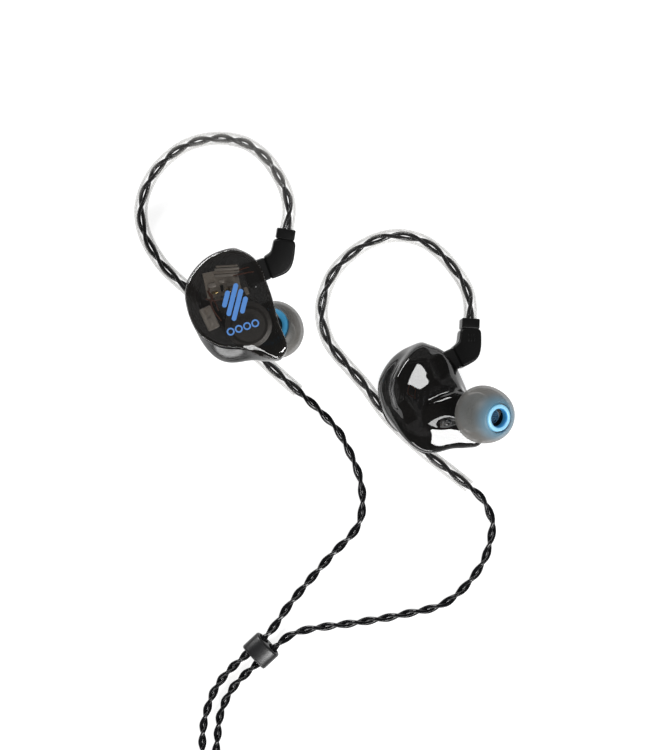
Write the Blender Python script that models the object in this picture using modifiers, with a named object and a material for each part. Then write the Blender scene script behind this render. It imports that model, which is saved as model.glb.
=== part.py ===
"""In-ear monitors: two earpieces with ear tips, plugged on to one detachable twisted cable.

Both earpieces lie on a table seen from above: the left one with its faceplate up, the right one with
its faceplate down.  They are a mirrored pair, so seen from above they have the same outline.
Lengths below are millimetres; objects are built in metres, +Z up, table at z = 0.
"""

import math

import bmesh
import bpy
from mathutils import Matrix, Vector

MM = 0.001
GAP = 0.3                      # between pieces that touch
SMALL_GAP = 0.12               # between small pieces that touch

# Each earpiece has its own frame: x, y in the plane of the faceplate, depth from the faceplate's face
# towards the ear.  hand is +1 where the ear side is up and -1 where it is down.
SIDES = {
    "left": {"hand": -1, "centre": (-23.6, 9.1, 29.8), "turn": 0.0, "lean": (0.7, -0.7), "tilt": 5.5},
    "right": {"hand": 1, "centre": (16.8, -10.4, 1.8), "turn": 6.0, "lean": (0.8, 0.6), "tilt": 10.2},
}

# Earpiece housing
OUTLINE = [(-0.9, 12.0), (-6.4, 10.0), (-10.3, 5.0), (-10.2, -0.5), (-7.8, -5.6), (-3.4, -8.2),
           (1.4, -8.8), (5.4, -10.4), (8.9, -10.9), (10.7, -8.2), (8.8, -3.0), (7.1, 3.2), (4.0, 9.8)]
OUTLINE_STEPS = 32
FACE_THICK = 1.5
FACE_SCALE = 0.975
RIM_DEPTH = FACE_THICK + GAP
WALL = 0.85
BODY_END_ANGLE = math.radians(71.0)
BODY_STATIONS = (0.0, 0.12, 0.26, 0.4, 0.55, 0.7, 0.85, 1.0)
# The housing swells past its rim: the way it faces (degrees in plan), how far, how deep in share and
# how narrow
SWELLS = ((262.0, 3.5, 0.55, 4), (85.0, 0.45, 0.8, 2))

# Nozzle: the ear tip's widest ring is centred on its axis at TIP_CENTRE
TIP_CENTRE = Vector((8.6, -5.5, 16.0))
NOZZLE_AXIS = Vector((0.37, -0.25, 0.895)).normalized()
NOZZLE_BASE = -5.5             # along the axis from TIP_CENTRE
NOZZLE_END = 4.2
NOZZLE_BASE_R = 3.3
NOZZLE_R = 2.6
NOZZLE_BORE_R = NOZZLE_R - WALL
MESH_DISC_THICK = 0.4

# Ear tip
TIP_R = 6.15
CORE_BORE_R = 2.85
CORE_MOUTH_R = 1.95
TIP_FRONT = 6.4

# Two-pin connector: the seam between plug and socket is at SEAM, and the pins point along PIN_ANGLE
SEAM = Vector((6.75, 8.05, 4.6))
PIN_ANGLE = math.radians(20.0)
LEG_ANGLE = math.radians(-9.0)
PLUG_THICK = 4.2
PLUG_OUTLINE = [(-0.7, 2.35), (0.5, 3.2), (0.85, 4.2), (1.25, 6.2), (5.75, 5.7), (5.6, 3.4),
                (5.3, 1.4), (4.7, -0.2), (3.6, -1.3), (0.95, -2.3)]
COLLAR_SIZE = (3.9, 1.9, 3.7)
COLLAR_CENTRE = (3.7, 7.15)
SOCKET_SIZE = (5.1, 4.7, 4.0)
PIN_R = 0.39
PIN_SPACING = 1.8
PIN_LENGTH = 4.5
PIN_BORE_R = 0.55
PIN_BORE_DEPTH = 4.8

# Inside the housing: centre (x, y, depth), size, turn in degrees
DRIVER = {"centre": (2.7, -3.9, 2.3), "radius": 4.9, "thick": 3.3}
ARMATURES = {
    "a": {"centre": (-1.9, 3.7, 4.9), "size": (6.0, 4.2, 2.7), "turn": 12.0},
    "b": {"centre": (-5.5, -2.5, 3.7), "size": (5.0, 2.7, 1.9), "turn": -65.0},
    "c": {"centre": (2.6, -2.2, 7.0), "size": (5.0, 2.7, 1.9), "turn": -30.0},
}
BOARD = {"centre": (-3.2, 4.9, 2.7), "size": (6.6, 5.4, 0.6), "turn": 12.0}
SOUND_TUBE_R = 0.7
SOUND_TUBE = [(-1.6, 1.6, 7.0), (0.6, 1.7, 7.5), (3.4, 1.2, 8.1), (5.1, -0.8, 8.6), (6.0, -2.4, 9.4)]
VENT_PLACE = (2.3, -6.0)
VENT_LIFT = 0.22

# Cable
SIDE_R = 0.95
MAIN_R = 1.2
SLEEVE_R = 1.45
SLEEVE_WALL = 0.28
TUBE_STEP = 4.6
SLEEVE_LENGTH = {"left": 114.0, "right": 106.0}
ROUTES = {
    "left": [(-13.2, 26.0, 25.6), (-12.7, 29.3, 25.3), (-13.4, 33.4, 24.2), (-15.1, 37.0, 22.2),
             (-17.7, 40.8, 19.7), (-21.6, 43.9, 17.0), (-26.3, 45.3, 14.3), (-30.6, 45.3, 11.8),
             (-35.0, 44.2, 9.4), (-39.0, 41.7, 7.3), (-42.3, 38.2, 5.5), (-44.3, 34.3, 4.0),
             (-45.1, 30.1, 2.8), (-44.3, 25.5, 2.0), (-42.1, 21.2, 1.6), (-38.9, 17.2, 1.5),
             (-31.2, 10.4, 1.5), (-23.5, 2.8, 1.5), (-16.6, -3.6, 1.5), (-8.3, -10.9, 1.5),
             (-4.7, -14.5, 1.3), (-1.6, -18.4, 1.0), (2.5, -28.1, 1.0), (2.1, -37.3, 1.0),
             (-4.2, -44.5, 1.0), (-10.3, -51.6, 1.0), (-13.4, -55.5, 1.1), (-16.0, -59.3, 1.5),
             (-18.6, -62.2, 1.8), (-22.5, -65.8, 1.8), (-26.3, -69.4, 1.8), (-28.9, -72.9, 1.4),
             (-30.6, -77.0, 1.0), (-31.7, -82.0, 1.0), (-31.8, -90.0, 1.2), (-31.5, -102.3, 1.6)],
    "right": [(26.15, 7.5, 3.2), (26.2, 10.5, 2.8), (25.3, 14.0, 2.5), (23.3, 17.3, 2.3),
              (20.2, 21.0, 2.1), (16.3, 23.9, 1.9), (11.6, 25.2, 1.7), (7.3, 24.8, 1.6),
              (3.0, 23.0, 1.5), (-0.9, 20.0, 1.5), (-3.8, 16.4, 1.5), (-5.4, 12.4, 1.5),
              (-6.0, 8.5, 1.5), (-5.2, 4.2, 1.5), (-3.1, 0.2, 1.5), (3.4, -7.3, 1.5),
              (8.9, -14.6, 1.5), (16.0, -21.3, 1.5), (22.5, -26.4, 1.5), (28.4, -31.3, 1.5),
              (30.6, -35.2, 1.2), (31.1, -38.8, 1.0), (28.6, -46.5, 1.0), (21.4, -54.2, 1.0),
              (11.7, -57.0, 1.0), (1.4, -58.8, 1.0), (-7.6, -60.0, 1.1), (-12.6, -61.4, 1.5),
              (-16.4, -64.3, 1.8), (-20.2, -67.8, 1.8), (-24.0, -71.4, 1.8), (-26.3, -74.6, 1.4),
              (-28.0, -79.0, 1.0), (-28.6, -84.0, 1.0), (-29.1, -90.0, 1.2), (-29.4, -98.8, 1.6)],
}

# Chin slider: a block on the two side cables, which run straight and level through it
SLIDER_CENTRE = (-19.35, -64.95, 1.8)
SLIDER_ANGLE = math.radians(223.0)      # the way it slides, away from the earpieces
SLIDER_LENGTH = 4.2
SLIDER_WIDTH = 6.8
SLIDER_THICK = 3.5
SLIDER_BORE_R = 1.25
SLIDER_BORE_OFFSET = 1.45

# Coil of the cable that isn't laid out, with the Y-split in its hole, and the plug beside it
COIL_CENTRE = (-11.3, -112.0)
COIL_OUTER_R = 21.0
COIL_INNER_R = 11.0
COIL_BOTTOM = 0.75
COIL_TOP = 10.1
SPLIT_OFFSET = 7.0
SPLIT_ANGLE = math.radians(45.0)
SPLIT_OUTLINE = [(-5.5, 2.1), (-2.0, 2.2), (2.5, 1.7), (6.3, 1.5), (6.3, -1.5), (2.5, -1.7),
                 (-2.0, -2.2), (-5.5, -2.1)]
SPLIT_THICK = 3.2
TIE_WIDTH = 5.0
TIE_WALL = 0.42
TIE_SLACK = 0.6
TIE_ANGLE = math.radians(-40.0)
MAIN_ROUTE = [(-7.9, -134.3, 6.4), (-4.5, -135.3, 5.2), (-1.4, -136.0, 4.2), (2.0, -136.2, 3.8)]
JACK_START = (2.3, -136.2, 3.8)

MODEL = "in_ear_monitors"
CUTTERS = "cutters"


# ---------------------------------------------------------------- helpers

def clear_scene():
    for obj in list(bpy.data.objects):
        bpy.data.objects.remove(obj)
    for name in (MODEL, CUTTERS):
        if name in bpy.data.collections:
            bpy.data.collections.remove(bpy.data.collections[name])
        bpy.context.scene.collection.children.link(bpy.data.collections.new(name))


def material(name, colour, roughness, metallic=0.0, alpha=1.0):
    made = bpy.data.materials.new(name)
    made.use_nodes = True
    shader = made.node_tree.nodes["Principled BSDF"]
    shader.inputs["Base Color"].default_value = (*colour, 1.0)
    shader.inputs["Roughness"].default_value = roughness
    shader.inputs["Metallic"].default_value = metallic
    shader.inputs["Alpha"].default_value = alpha
    return made


def paint(obj, look):
    obj.data.materials.clear()
    obj.data.materials.append(material(f"{obj.name}_{look[0]}", *look[1:]))


LOOKS = {
    "smoky": ("smoky_plastic", (0.02, 0.018, 0.017), 0.06, 0.0, 0.8),
    "black_gloss": ("black_gloss", (0.012, 0.012, 0.013), 0.15),
    "black_satin": ("black_satin", (0.02, 0.02, 0.021), 0.4),
    "grey_silicone": ("grey_silicone", (0.25, 0.24, 0.23), 0.45, 0.0, 0.85),
    "blue_silicone": ("blue_silicone", (0.06, 0.42, 0.85), 0.35),
    "clear_tube": ("clear_tube", (0.8, 0.78, 0.74), 0.1, 0.0, 0.35),
    "steel": ("steel", (0.6, 0.6, 0.6), 0.3, 1.0),
    "gold": ("gold", (0.83, 0.62, 0.28), 0.22, 1.0),
    "board": ("circuit_board", (0.22, 0.17, 0.12), 0.5),
    "dark_rubber": ("dark_rubber", (0.03, 0.03, 0.032), 0.55),
}


def place(obj, look, parent=None, location=(0, 0, 0), rotation=None):
    """Puts obj in the model's collection, under parent, with its place in millimetres."""
    for owner in list(obj.users_collection):
        owner.objects.unlink(obj)
    bpy.data.collections[MODEL].objects.link(obj)
    obj.parent = parent
    turn = rotation.to_4x4() if rotation is not None else Matrix.Identity(4)
    obj.matrix_basis = Matrix.Translation(Vector(location) * MM) @ turn
    if look:
        paint(obj, LOOKS[look])
    return obj


def as_cutter(obj):
    for owner in list(obj.users_collection):
        owner.objects.unlink(obj)
    bpy.data.collections[CUTTERS].objects.link(obj)
    obj.hide_render = True
    obj.display_type = "WIRE"
    return obj


def empty(name, parent=None, matrix=None):
    made = bpy.data.objects.new(name, None)
    bpy.data.collections[MODEL].objects.link(made)
    made.parent = parent
    made.matrix_basis = matrix or Matrix.Identity(4)
    return made


def smooth_round(obj, angle=35.0):
    obj.data.shade_smooth()
    obj.data.set_sharp_from_angle(angle=math.radians(angle))


def bevel(obj, width, segments=2):
    made = obj.modifiers.new("edges", "BEVEL")
    made.width = width * MM
    made.segments = segments
    made.limit_method = "ANGLE"
    made.angle_limit = math.radians(40)
    return made


def cut(obj, cutter):
    made = obj.modifiers.new("cut", "BOOLEAN")
    made.operation = "DIFFERENCE"
    made.solver = "EXACT"
    made.object = cutter


def spline_point(a, b, c, d, t):
    """A point on the Catmull-Rom curve between b and c."""
    return 0.5 * (2 * b + (c - a) * t + (2 * a - 5 * b + 4 * c - d) * t ** 2
                  + (3 * b - a - 3 * c + d) * t ** 3)


def smooth_loop(points, count):
    """count points along a closed smooth curve through points, evenly spaced."""
    knots = [Vector(p) for p in points]
    n = len(knots)
    dense = [spline_point(knots[i - 1], knots[i], knots[(i + 1) % n], knots[(i + 2) % n], j / 24)
             for i in range(n) for j in range(24)]
    return even(dense + dense[:1], count + 1)[:-1]


def smooth_path(points, step):
    """Points along an open smooth curve through points, about step apart."""
    knots = [Vector(p) for p in points]
    knots = [2 * knots[0] - knots[1]] + knots + [2 * knots[-1] - knots[-2]]
    dense = [spline_point(*knots[i:i + 4], j / 24) for i in range(len(knots) - 3) for j in range(24)]
    dense.append(knots[-2])
    length = sum((b - a).length for a, b in zip(dense, dense[1:]))
    return even(dense, max(2, round(length / step)) + 1)


def even(dense, count):
    """count points spread evenly along the polyline dense, ends included."""
    marks = [0.0]
    for a, b in zip(dense, dense[1:]):
        marks.append(marks[-1] + (b - a).length)
    found, at = [], 0
    for i in range(count):
        wanted = marks[-1] * i / (count - 1)
        while at < len(marks) - 2 and marks[at + 1] < wanted:
            at += 1
        share = (wanted - marks[at]) / (marks[at + 1] - marks[at])
        found.append(dense[at].lerp(dense[at + 1], min(share, 1.0)))
    return found


def curve_object(name, points, closed=False, flat=False):
    data = bpy.data.curves.new(name, "CURVE")
    data.dimensions = "2D" if flat else "3D"
    data.render_resolution_u = 0
    spline = data.splines.new("POLY")
    spline.points.add(len(points) - 1)
    for target, point in zip(spline.points, points):
        target.co = (*(Vector(point).to_3d() * MM), 1.0)
    spline.use_cyclic_u = closed
    return bpy.data.objects.new(name, data)


def tube(name, points, radius, look, parent=None):
    """A solid round tube along points, with filled ends."""
    obj = curve_object(name, points)
    obj.data.bevel_depth = radius * MM
    obj.data.bevel_resolution = 2
    obj.data.use_fill_caps = True
    return place(obj, look, parent)


def sleeve(name, points, radius, wall, look, parent=None):
    """A hollow round tube along points, open at both ends."""
    obj = curve_object(name, points)
    obj.data.bevel_depth = radius * MM
    obj.data.bevel_resolution = 2
    shell = obj.modifiers.new("wall", "SOLIDIFY")
    shell.thickness = wall * MM
    shell.offset = -1.0
    return place(obj, look, parent)


def turned(name, profile, look, steps=24, closed=False, **where):
    """A turned piece: profile is (radius, height) pairs running down the outer side."""
    mesh = bpy.data.meshes.new(name)
    edges = [(i, i + 1) for i in range(len(profile) - 1)]
    if closed:
        edges.append((len(profile) - 1, 0))
    mesh.from_pydata([(r * MM, 0.0, z * MM) for r, z in profile], edges, [])
    obj = bpy.data.objects.new(name, mesh)
    screw = obj.modifiers.new("turn", "SCREW")
    screw.steps = screw.render_steps = steps
    screw.use_merge_vertices = True
    screw.merge_threshold = 1e-6
    screw.use_smooth_shade = True
    return place(obj, look, **where)


def cylinder(name, radius, length, look=None, sides=14, **where):
    """A cylinder along its own z, from 0 to length."""
    mesh = bpy.data.meshes.new(name)
    form = bmesh.new()
    bmesh.ops.create_cone(form, cap_ends=True, segments=sides, radius1=radius * MM,
                          radius2=radius * MM, depth=length * MM)
    bmesh.ops.translate(form, verts=form.verts, vec=(0, 0, length * MM / 2))
    form.to_mesh(mesh)
    form.free()
    obj = bpy.data.objects.new(name, mesh)
    smooth_round(obj)
    return place(obj, look, **where)


def box(name, size, look=None, edge=0.25, **where):
    """A box with rounded edges, centred on its origin."""
    mesh = bpy.data.meshes.new(name)
    form = bmesh.new()
    bmesh.ops.create_cube(form, size=1.0)
    bmesh.ops.scale(form, verts=form.verts, vec=Vector(size) * MM)
    form.to_mesh(mesh)
    form.free()
    obj = place(bpy.data.objects.new(name, mesh), look, **where)
    if edge:
        bevel(obj, edge)
    return obj


def plate(name, outline, thick, look, edge, **where):
    """A flat outline of that thickness, centred on z = 0, with rounded edges."""
    flat = curve_object(name, outline, closed=True, flat=True)
    flat.data.fill_mode = "BOTH"
    flat.data.extrude = thick * MM / 2
    bpy.context.scene.collection.objects.link(flat)
    bpy.context.view_layer.update()
    mesh = bpy.data.meshes.new_from_object(flat.evaluated_get(bpy.context.evaluated_depsgraph_get()))
    bpy.data.objects.remove(flat)
    form = bmesh.new()
    form.from_mesh(mesh)
    bmesh.ops.remove_doubles(form, verts=form.verts, dist=1e-6)
    bmesh.ops.recalc_face_normals(form, faces=form.faces)
    form.to_mesh(mesh)
    form.free()
    mesh.name = name
    obj = place(bpy.data.objects.new(name, mesh), look, **where)
    bevel(obj, edge)
    return obj


# ---------------------------------------------------------------- frames

def side_matrix(side):
    """Where an earpiece's plan frame lies: turned in the table's plane, then leant over."""
    lean = Vector((*side["lean"], 0.0)).normalized()
    over = Matrix.Rotation(math.radians(side["tilt"]), 4, Vector((-lean.y, lean.x, 0.0)))
    turn = Matrix.Rotation(math.radians(side["turn"]), 4, "Z")
    return Matrix.Translation(Vector(side["centre"]) * MM) @ over @ turn


def seat(point, hand):
    """A point given as plan and depth, in the earpiece's frame."""
    return Vector((point[0], point[1], hand * point[2]))


def along(direction):
    """Rotation that carries +Z to direction."""
    return Vector(direction).to_track_quat("Z", "Y").to_matrix()


# ---------------------------------------------------------------- the housing's shape

def ease(t):
    t = min(1.0, max(0.0, t))
    return t * t * (3 - 2 * t)


def body_ring(share, outline):
    """One ring of the housing between its rim (share 0) and the nozzle's base (share 1)."""
    angle = share * BODY_END_ANGLE
    scale = math.cos(angle) ** 0.9
    last = math.cos(BODY_END_ANGLE) ** 0.9
    shift = (1 - scale) / (1 - last)
    round_off = ease((share - 0.3) / 0.7)
    base = TIP_CENTRE + NOZZLE_AXIS * NOZZLE_BASE
    depth = RIM_DEPTH + (base.z - RIM_DEPTH) * math.sin(angle) / math.sin(BODY_END_ANGLE)
    centre = Vector((base.x * shift, base.y * shift, depth))
    lean = Vector((0, 0, 1)).lerp(NOZZLE_AXIS, round_off).normalized()
    turn = Vector((0, 0, 1)).rotation_difference(lean)
    ring = []
    for point in outline:
        flat = point.normalized() * NOZZLE_BASE_R * round_off + point * scale * (1 - round_off)
        ring.append(centre + turn @ (flat + point.normalized() * swell(point, share)).to_3d())
    return ring


def swell(point, share):
    """How far the housing stands out past the plain form, in the direction of an outline's point."""
    total = 0.0
    for facing, size, deep, narrow in SWELLS:
        toward = math.cos(math.atan2(point.y, point.x) - math.radians(facing))
        total += size * max(0.0, toward) ** narrow * math.sin(math.pi * min(1.0, share / deep))
    return total


def nozzle_ring(distance, radius, outline):
    centre = TIP_CENTRE + NOZZLE_AXIS * distance
    turn = Vector((0, 0, 1)).rotation_difference(NOZZLE_AXIS)
    return [centre + turn @ (p.normalized() * radius).to_3d() for p in outline]


def housing_rings():
    outline = smooth_loop(OUTLINE, OUTLINE_STEPS)
    rings = [body_ring(share, outline) for share in BODY_STATIONS]
    rings.append(nozzle_ring(NOZZLE_BASE + 1.3, NOZZLE_R + 0.15, outline))
    rings.append(nozzle_ring(NOZZLE_BASE + 2.8, NOZZLE_R, outline))
    rings.append(nozzle_ring(NOZZLE_END, NOZZLE_R, outline))
    return rings


def loft(name, rings, hand):
    """An open surface through rings, facing out."""
    mesh = bpy.data.meshes.new(name)
    count = len(rings[0])
    points = [seat(p, hand) * MM for ring in rings for p in ring]
    faces = []
    for i in range(len(rings) - 1):
        for j in range(count):
            k = (j + 1) % count
            face = [i * count + j, i * count + k, (i + 1) * count + k, (i + 1) * count + j]
            faces.append(face if hand > 0 else face[::-1])
    mesh.from_pydata(points, [], faces)
    return bpy.data.objects.new(name, mesh)


def housing_place(x, y):
    """The point of the housing's ear side over plan point x, y, and the way it faces."""
    outline = smooth_loop(OUTLINE, OUTLINE_STEPS)
    rings = [body_ring(i / 30, outline) for i in range(31)]
    _, i, j = min(((Vector((p.x - x, p.y - y))).length, i, j)
                  for i, ring in enumerate(rings[1:-1], 1) for j, p in enumerate(ring))
    here = rings[i][j]
    around = rings[i][(j + 1) % OUTLINE_STEPS] - rings[i][j - 1]
    inward = rings[i + 1][j] - rings[i - 1][j]
    facing = around.cross(inward).normalized()
    if facing.z < 0:
        facing.negate()
    return here, facing


# ---------------------------------------------------------------- one earpiece

def make_faceplate(name, frame, hand):
    outline = [p * FACE_SCALE for p in smooth_loop(OUTLINE, OUTLINE_STEPS)]
    plate(f"{name}_faceplate", outline, FACE_THICK, "smoky", 0.45, parent=frame,
          location=(0, 0, hand * FACE_THICK / 2))


def make_shell(name, frame, hand):
    shell = place(loft(f"{name}_shell", housing_rings(), hand), "smoky", frame)
    wall = shell.modifiers.new("wall", "SOLIDIFY")
    wall.thickness = WALL * MM
    wall.offset = -1.0
    turn = Matrix.Rotation(PIN_ANGLE, 3, "Z")
    window = box(f"{name}_socket_window", [s + 2 * GAP for s in SOCKET_SIZE], edge=0, parent=frame,
                 location=seat(SEAM - turn @ Vector((SOCKET_SIZE[0] / 2, 0, 0)), hand), rotation=turn)
    cut(shell, as_cutter(window))
    smooth_round(shell, 50.0)


def make_nozzle_mesh(name, frame, hand):
    start = TIP_CENTRE + NOZZLE_AXIS * (NOZZLE_END - 0.9)
    cylinder(f"{name}_nozzle_mesh", NOZZLE_BORE_R - SMALL_GAP, MESH_DISC_THICK, "steel", 24, parent=frame,
             location=seat(start, hand), rotation=along(seat(NOZZLE_AXIS, hand)))


def make_vent(name, frame, hand):
    here, facing = housing_place(*VENT_PLACE)
    profile = [(0.55, 0.35), (0.8, 0.28), (0.85, 0.0), (0.4, 0.0), (0.4, 0.3)]
    turned(f"{name}_vent_ring", profile, "steel", 16, closed=True, parent=frame,
           location=seat(here + facing * VENT_LIFT, hand), rotation=along(seat(facing, hand)))


def make_socket(name, frame, hand):
    turn = Matrix.Rotation(PIN_ANGLE, 3, "Z")
    middle = SEAM - turn @ Vector((SOCKET_SIZE[0] / 2 + SMALL_GAP, 0, 0))
    socket = box(f"{name}_socket", SOCKET_SIZE, "black_gloss", 0.35, parent=frame,
                 location=seat(middle, hand), rotation=turn)
    for i, offset in enumerate((-PIN_SPACING / 2, PIN_SPACING / 2)):
        mouth = SEAM + turn @ Vector((1.0, offset, 0))
        bore = cylinder(f"{name}_bore_{i}", PIN_BORE_R, PIN_BORE_DEPTH + 1.0, parent=frame,
                        location=seat(mouth, hand), rotation=along(turn @ Vector((-1, 0, 0))))
        cut(socket, as_cutter(bore))


def make_driver(name, frame, hand):
    r, thick = DRIVER["radius"], DRIVER["thick"]
    profile = [(0.0, thick), (r * 0.45, thick), (r * 0.5, thick - 0.5), (r * 0.93, thick - 0.6),
               (r, thick - 0.9), (r, 1.0), (r * 0.82, 0.8), (r * 0.7, 0.0), (0.0, 0.0)]
    turned(f"{name}_dynamic_driver", profile, "steel", 24, parent=frame,
           location=seat(DRIVER["centre"], hand), rotation=along((0, 0, hand)))


def make_inner_boxes(name, frame, hand):
    for letter, spec in ARMATURES.items():
        turn = Matrix.Rotation(math.radians(spec["turn"]), 3, "Z")
        box(f"{name}_armature_{letter}", spec["size"], "steel", 0.3, parent=frame,
            location=seat(spec["centre"], hand), rotation=turn)
    turn = Matrix.Rotation(math.radians(BOARD["turn"]), 3, "Z")
    box(f"{name}_crossover_board", BOARD["size"], "board", 0, parent=frame,
        location=seat(BOARD["centre"], hand), rotation=turn)
    tube(f"{name}_sound_tube", smooth_path([seat(p, hand) for p in SOUND_TUBE], 1.4), SOUND_TUBE_R,
         "clear_tube", frame)


def make_earpiece(name, side):
    frame = empty(f"{name}_earpiece_frame", matrix=side_matrix(side))
    hand = side["hand"]
    make_faceplate(name, frame, hand)
    make_shell(name, frame, hand)
    make_nozzle_mesh(name, frame, hand)
    make_vent(name, frame, hand)
    make_socket(name, frame, hand)
    make_driver(name, frame, hand)
    make_inner_boxes(name, frame, hand)
    make_tip(name, frame, hand)
    make_plug(name, frame, hand)


def make_tip(name, frame, hand):
    """Core and dome are turned about the nozzle's axis, +z towards the ear."""
    axis = empty(f"{name}_tip_axis", frame, Matrix.Translation(seat(TIP_CENTRE, hand) * MM)
                 @ along(seat(NOZZLE_AXIS, hand)).to_4x4())
    core = [(2.55, TIP_FRONT), (2.85, TIP_FRONT - 0.25), (2.95, TIP_FRONT - 0.8), (3.1, 4.4), (3.45, 2.4),
            (3.55, 0.2), (3.7, -1.7), (4.15, -2.3), (4.15, -2.9), (CORE_BORE_R, -2.9),
            (CORE_BORE_R, NOZZLE_END + GAP),
            (CORE_MOUTH_R, NOZZLE_END + GAP + 0.3), (CORE_MOUTH_R, TIP_FRONT - 0.2),
            (CORE_MOUTH_R + 0.2, TIP_FRONT)]
    turned(f"{name}_tip_core", core, "blue_silicone", 20, closed=True, parent=axis)
    dome = [(3.3, 6.3), (4.1, 5.75), (4.9, 4.9), (5.55, 3.6), (5.95, 2.1), (TIP_R, 0.4), (6.0, -1.0),
            (5.5, -2.3), (4.6, -3.3), (4.4, -2.8), (5.0, -2.1), (5.5, -0.8), (5.6, 0.5), (5.3, 2.1),
            (4.85, 3.4), (4.25, 4.3), (3.45, 4.8), (3.25, 5.2)]
    turned(f"{name}_tip_dome", dome, "grey_silicone", 24, closed=True, parent=axis)


def make_plug(name, frame, hand):
    """The cable's half of the connector, on its own frame at the seam, on the pins' axis."""
    plug = empty(f"{name}_plug_frame", frame, Matrix.Translation(seat(SEAM, hand) * MM))
    plate(f"{name}_plug_housing", PLUG_OUTLINE, PLUG_THICK, "black_satin", 0.7, parent=plug)
    box(f"{name}_plug_collar", COLLAR_SIZE, "black_satin", 0.5, parent=plug,
        location=(*COLLAR_CENTRE, 0), rotation=Matrix.Rotation(LEG_ANGLE, 3, "Z"))
    turn = Matrix.Rotation(PIN_ANGLE, 3, "Z")
    for i, offset in enumerate((-PIN_SPACING / 2, PIN_SPACING / 2), 1):
        cylinder(f"{name}_plug_pin_{i}", PIN_R, PIN_LENGTH, "gold", 12, parent=plug,
                 location=turn @ Vector((-0.05, offset, 0)), rotation=along(turn @ Vector((-1, 0, 0))))


# ---------------------------------------------------------------- the cable

def make_side_cable(name):
    points = smooth_path(ROUTES[name], TUBE_STEP)
    tube(f"{name}_cable", points, SIDE_R, "black_gloss")
    covered = round(SLEEVE_LENGTH[name] / TUBE_STEP)
    sleeve(f"{name}_ear_hook", points[:covered + 1], SLEEVE_R, SLEEVE_WALL, "clear_tube")


def make_slider():
    heading = Matrix.Rotation(SLIDER_ANGLE, 3, "Z")
    half = SLIDER_WIDTH / 2 - SLIDER_THICK / 2
    arc = [math.radians(a) for a in range(-90, 91, 20)]
    outline = [(half + SLIDER_THICK / 2 * math.cos(a), SLIDER_THICK / 2 * math.sin(a)) for a in arc]
    outline += [(-x, -y) for x, y in outline]
    upright = heading @ Matrix.Rotation(math.radians(90), 3, "Z") @ Matrix.Rotation(math.radians(90), 3, "X")
    slider = plate("chin_slider", outline, SLIDER_LENGTH, "dark_rubber", 0.35, location=SLIDER_CENTRE,
                   rotation=upright)
    for i, offset in enumerate((-SLIDER_BORE_OFFSET, SLIDER_BORE_OFFSET)):
        start = Vector(SLIDER_CENTRE) + heading @ Vector((-SLIDER_LENGTH, offset, 0))
        bore = cylinder(f"slider_bore_{i}", SLIDER_BORE_R, 2 * SLIDER_LENGTH, sides=16, location=start,
                        rotation=along(heading @ Vector((1, 0, 0))))
        cut(slider, as_cutter(bore))


def make_coil():
    section = [(COIL_INNER_R + 0.8, COIL_TOP), (COIL_OUTER_R - 0.8, COIL_TOP), (COIL_OUTER_R, COIL_TOP - 0.8),
               (COIL_OUTER_R, COIL_BOTTOM + 0.8), (COIL_OUTER_R - 0.8, COIL_BOTTOM),
               (COIL_INNER_R + 0.8, COIL_BOTTOM), (COIL_INNER_R, COIL_BOTTOM + 0.8),
               (COIL_INNER_R, COIL_TOP - 0.8)]
    turned("cable_coil", section, "black_gloss", 48, closed=True, location=(*COIL_CENTRE, 0))


def make_split():
    across = Matrix.Rotation(SPLIT_ANGLE, 3, "Z")
    middle = Vector((*COIL_CENTRE, SPLIT_THICK / 2 + 0.05)) + across @ Vector((SPLIT_OFFSET, 0, 0))
    plate("y_split", SPLIT_OUTLINE, SPLIT_THICK, "dark_rubber", 0.6, location=middle,
          rotation=across @ Matrix.Rotation(math.radians(90), 3, "Z"))


def make_tie():
    """A band round the coil's section, its inside cut out by a box."""
    turn = Matrix.Rotation(TIE_ANGLE, 3, "Z")
    radius = (COIL_OUTER_R + COIL_INNER_R) / 2
    width = COIL_OUTER_R - COIL_INNER_R + 2 * GAP + TIE_SLACK
    height = COIL_TOP - COIL_BOTTOM + 2 * GAP
    middle = Vector((*COIL_CENTRE, (COIL_TOP + COIL_BOTTOM) / 2)) + turn @ Vector((radius, 0, 0))
    tie = box("cable_tie", (width + 2 * TIE_WALL, TIE_WIDTH, height + 2 * TIE_WALL), "dark_rubber", 0,
              location=middle, rotation=turn)
    hollow = box("tie_hollow", (width, TIE_WIDTH + 2, height), edge=0, location=middle, rotation=turn)
    cut(tie, as_cutter(hollow))


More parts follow.
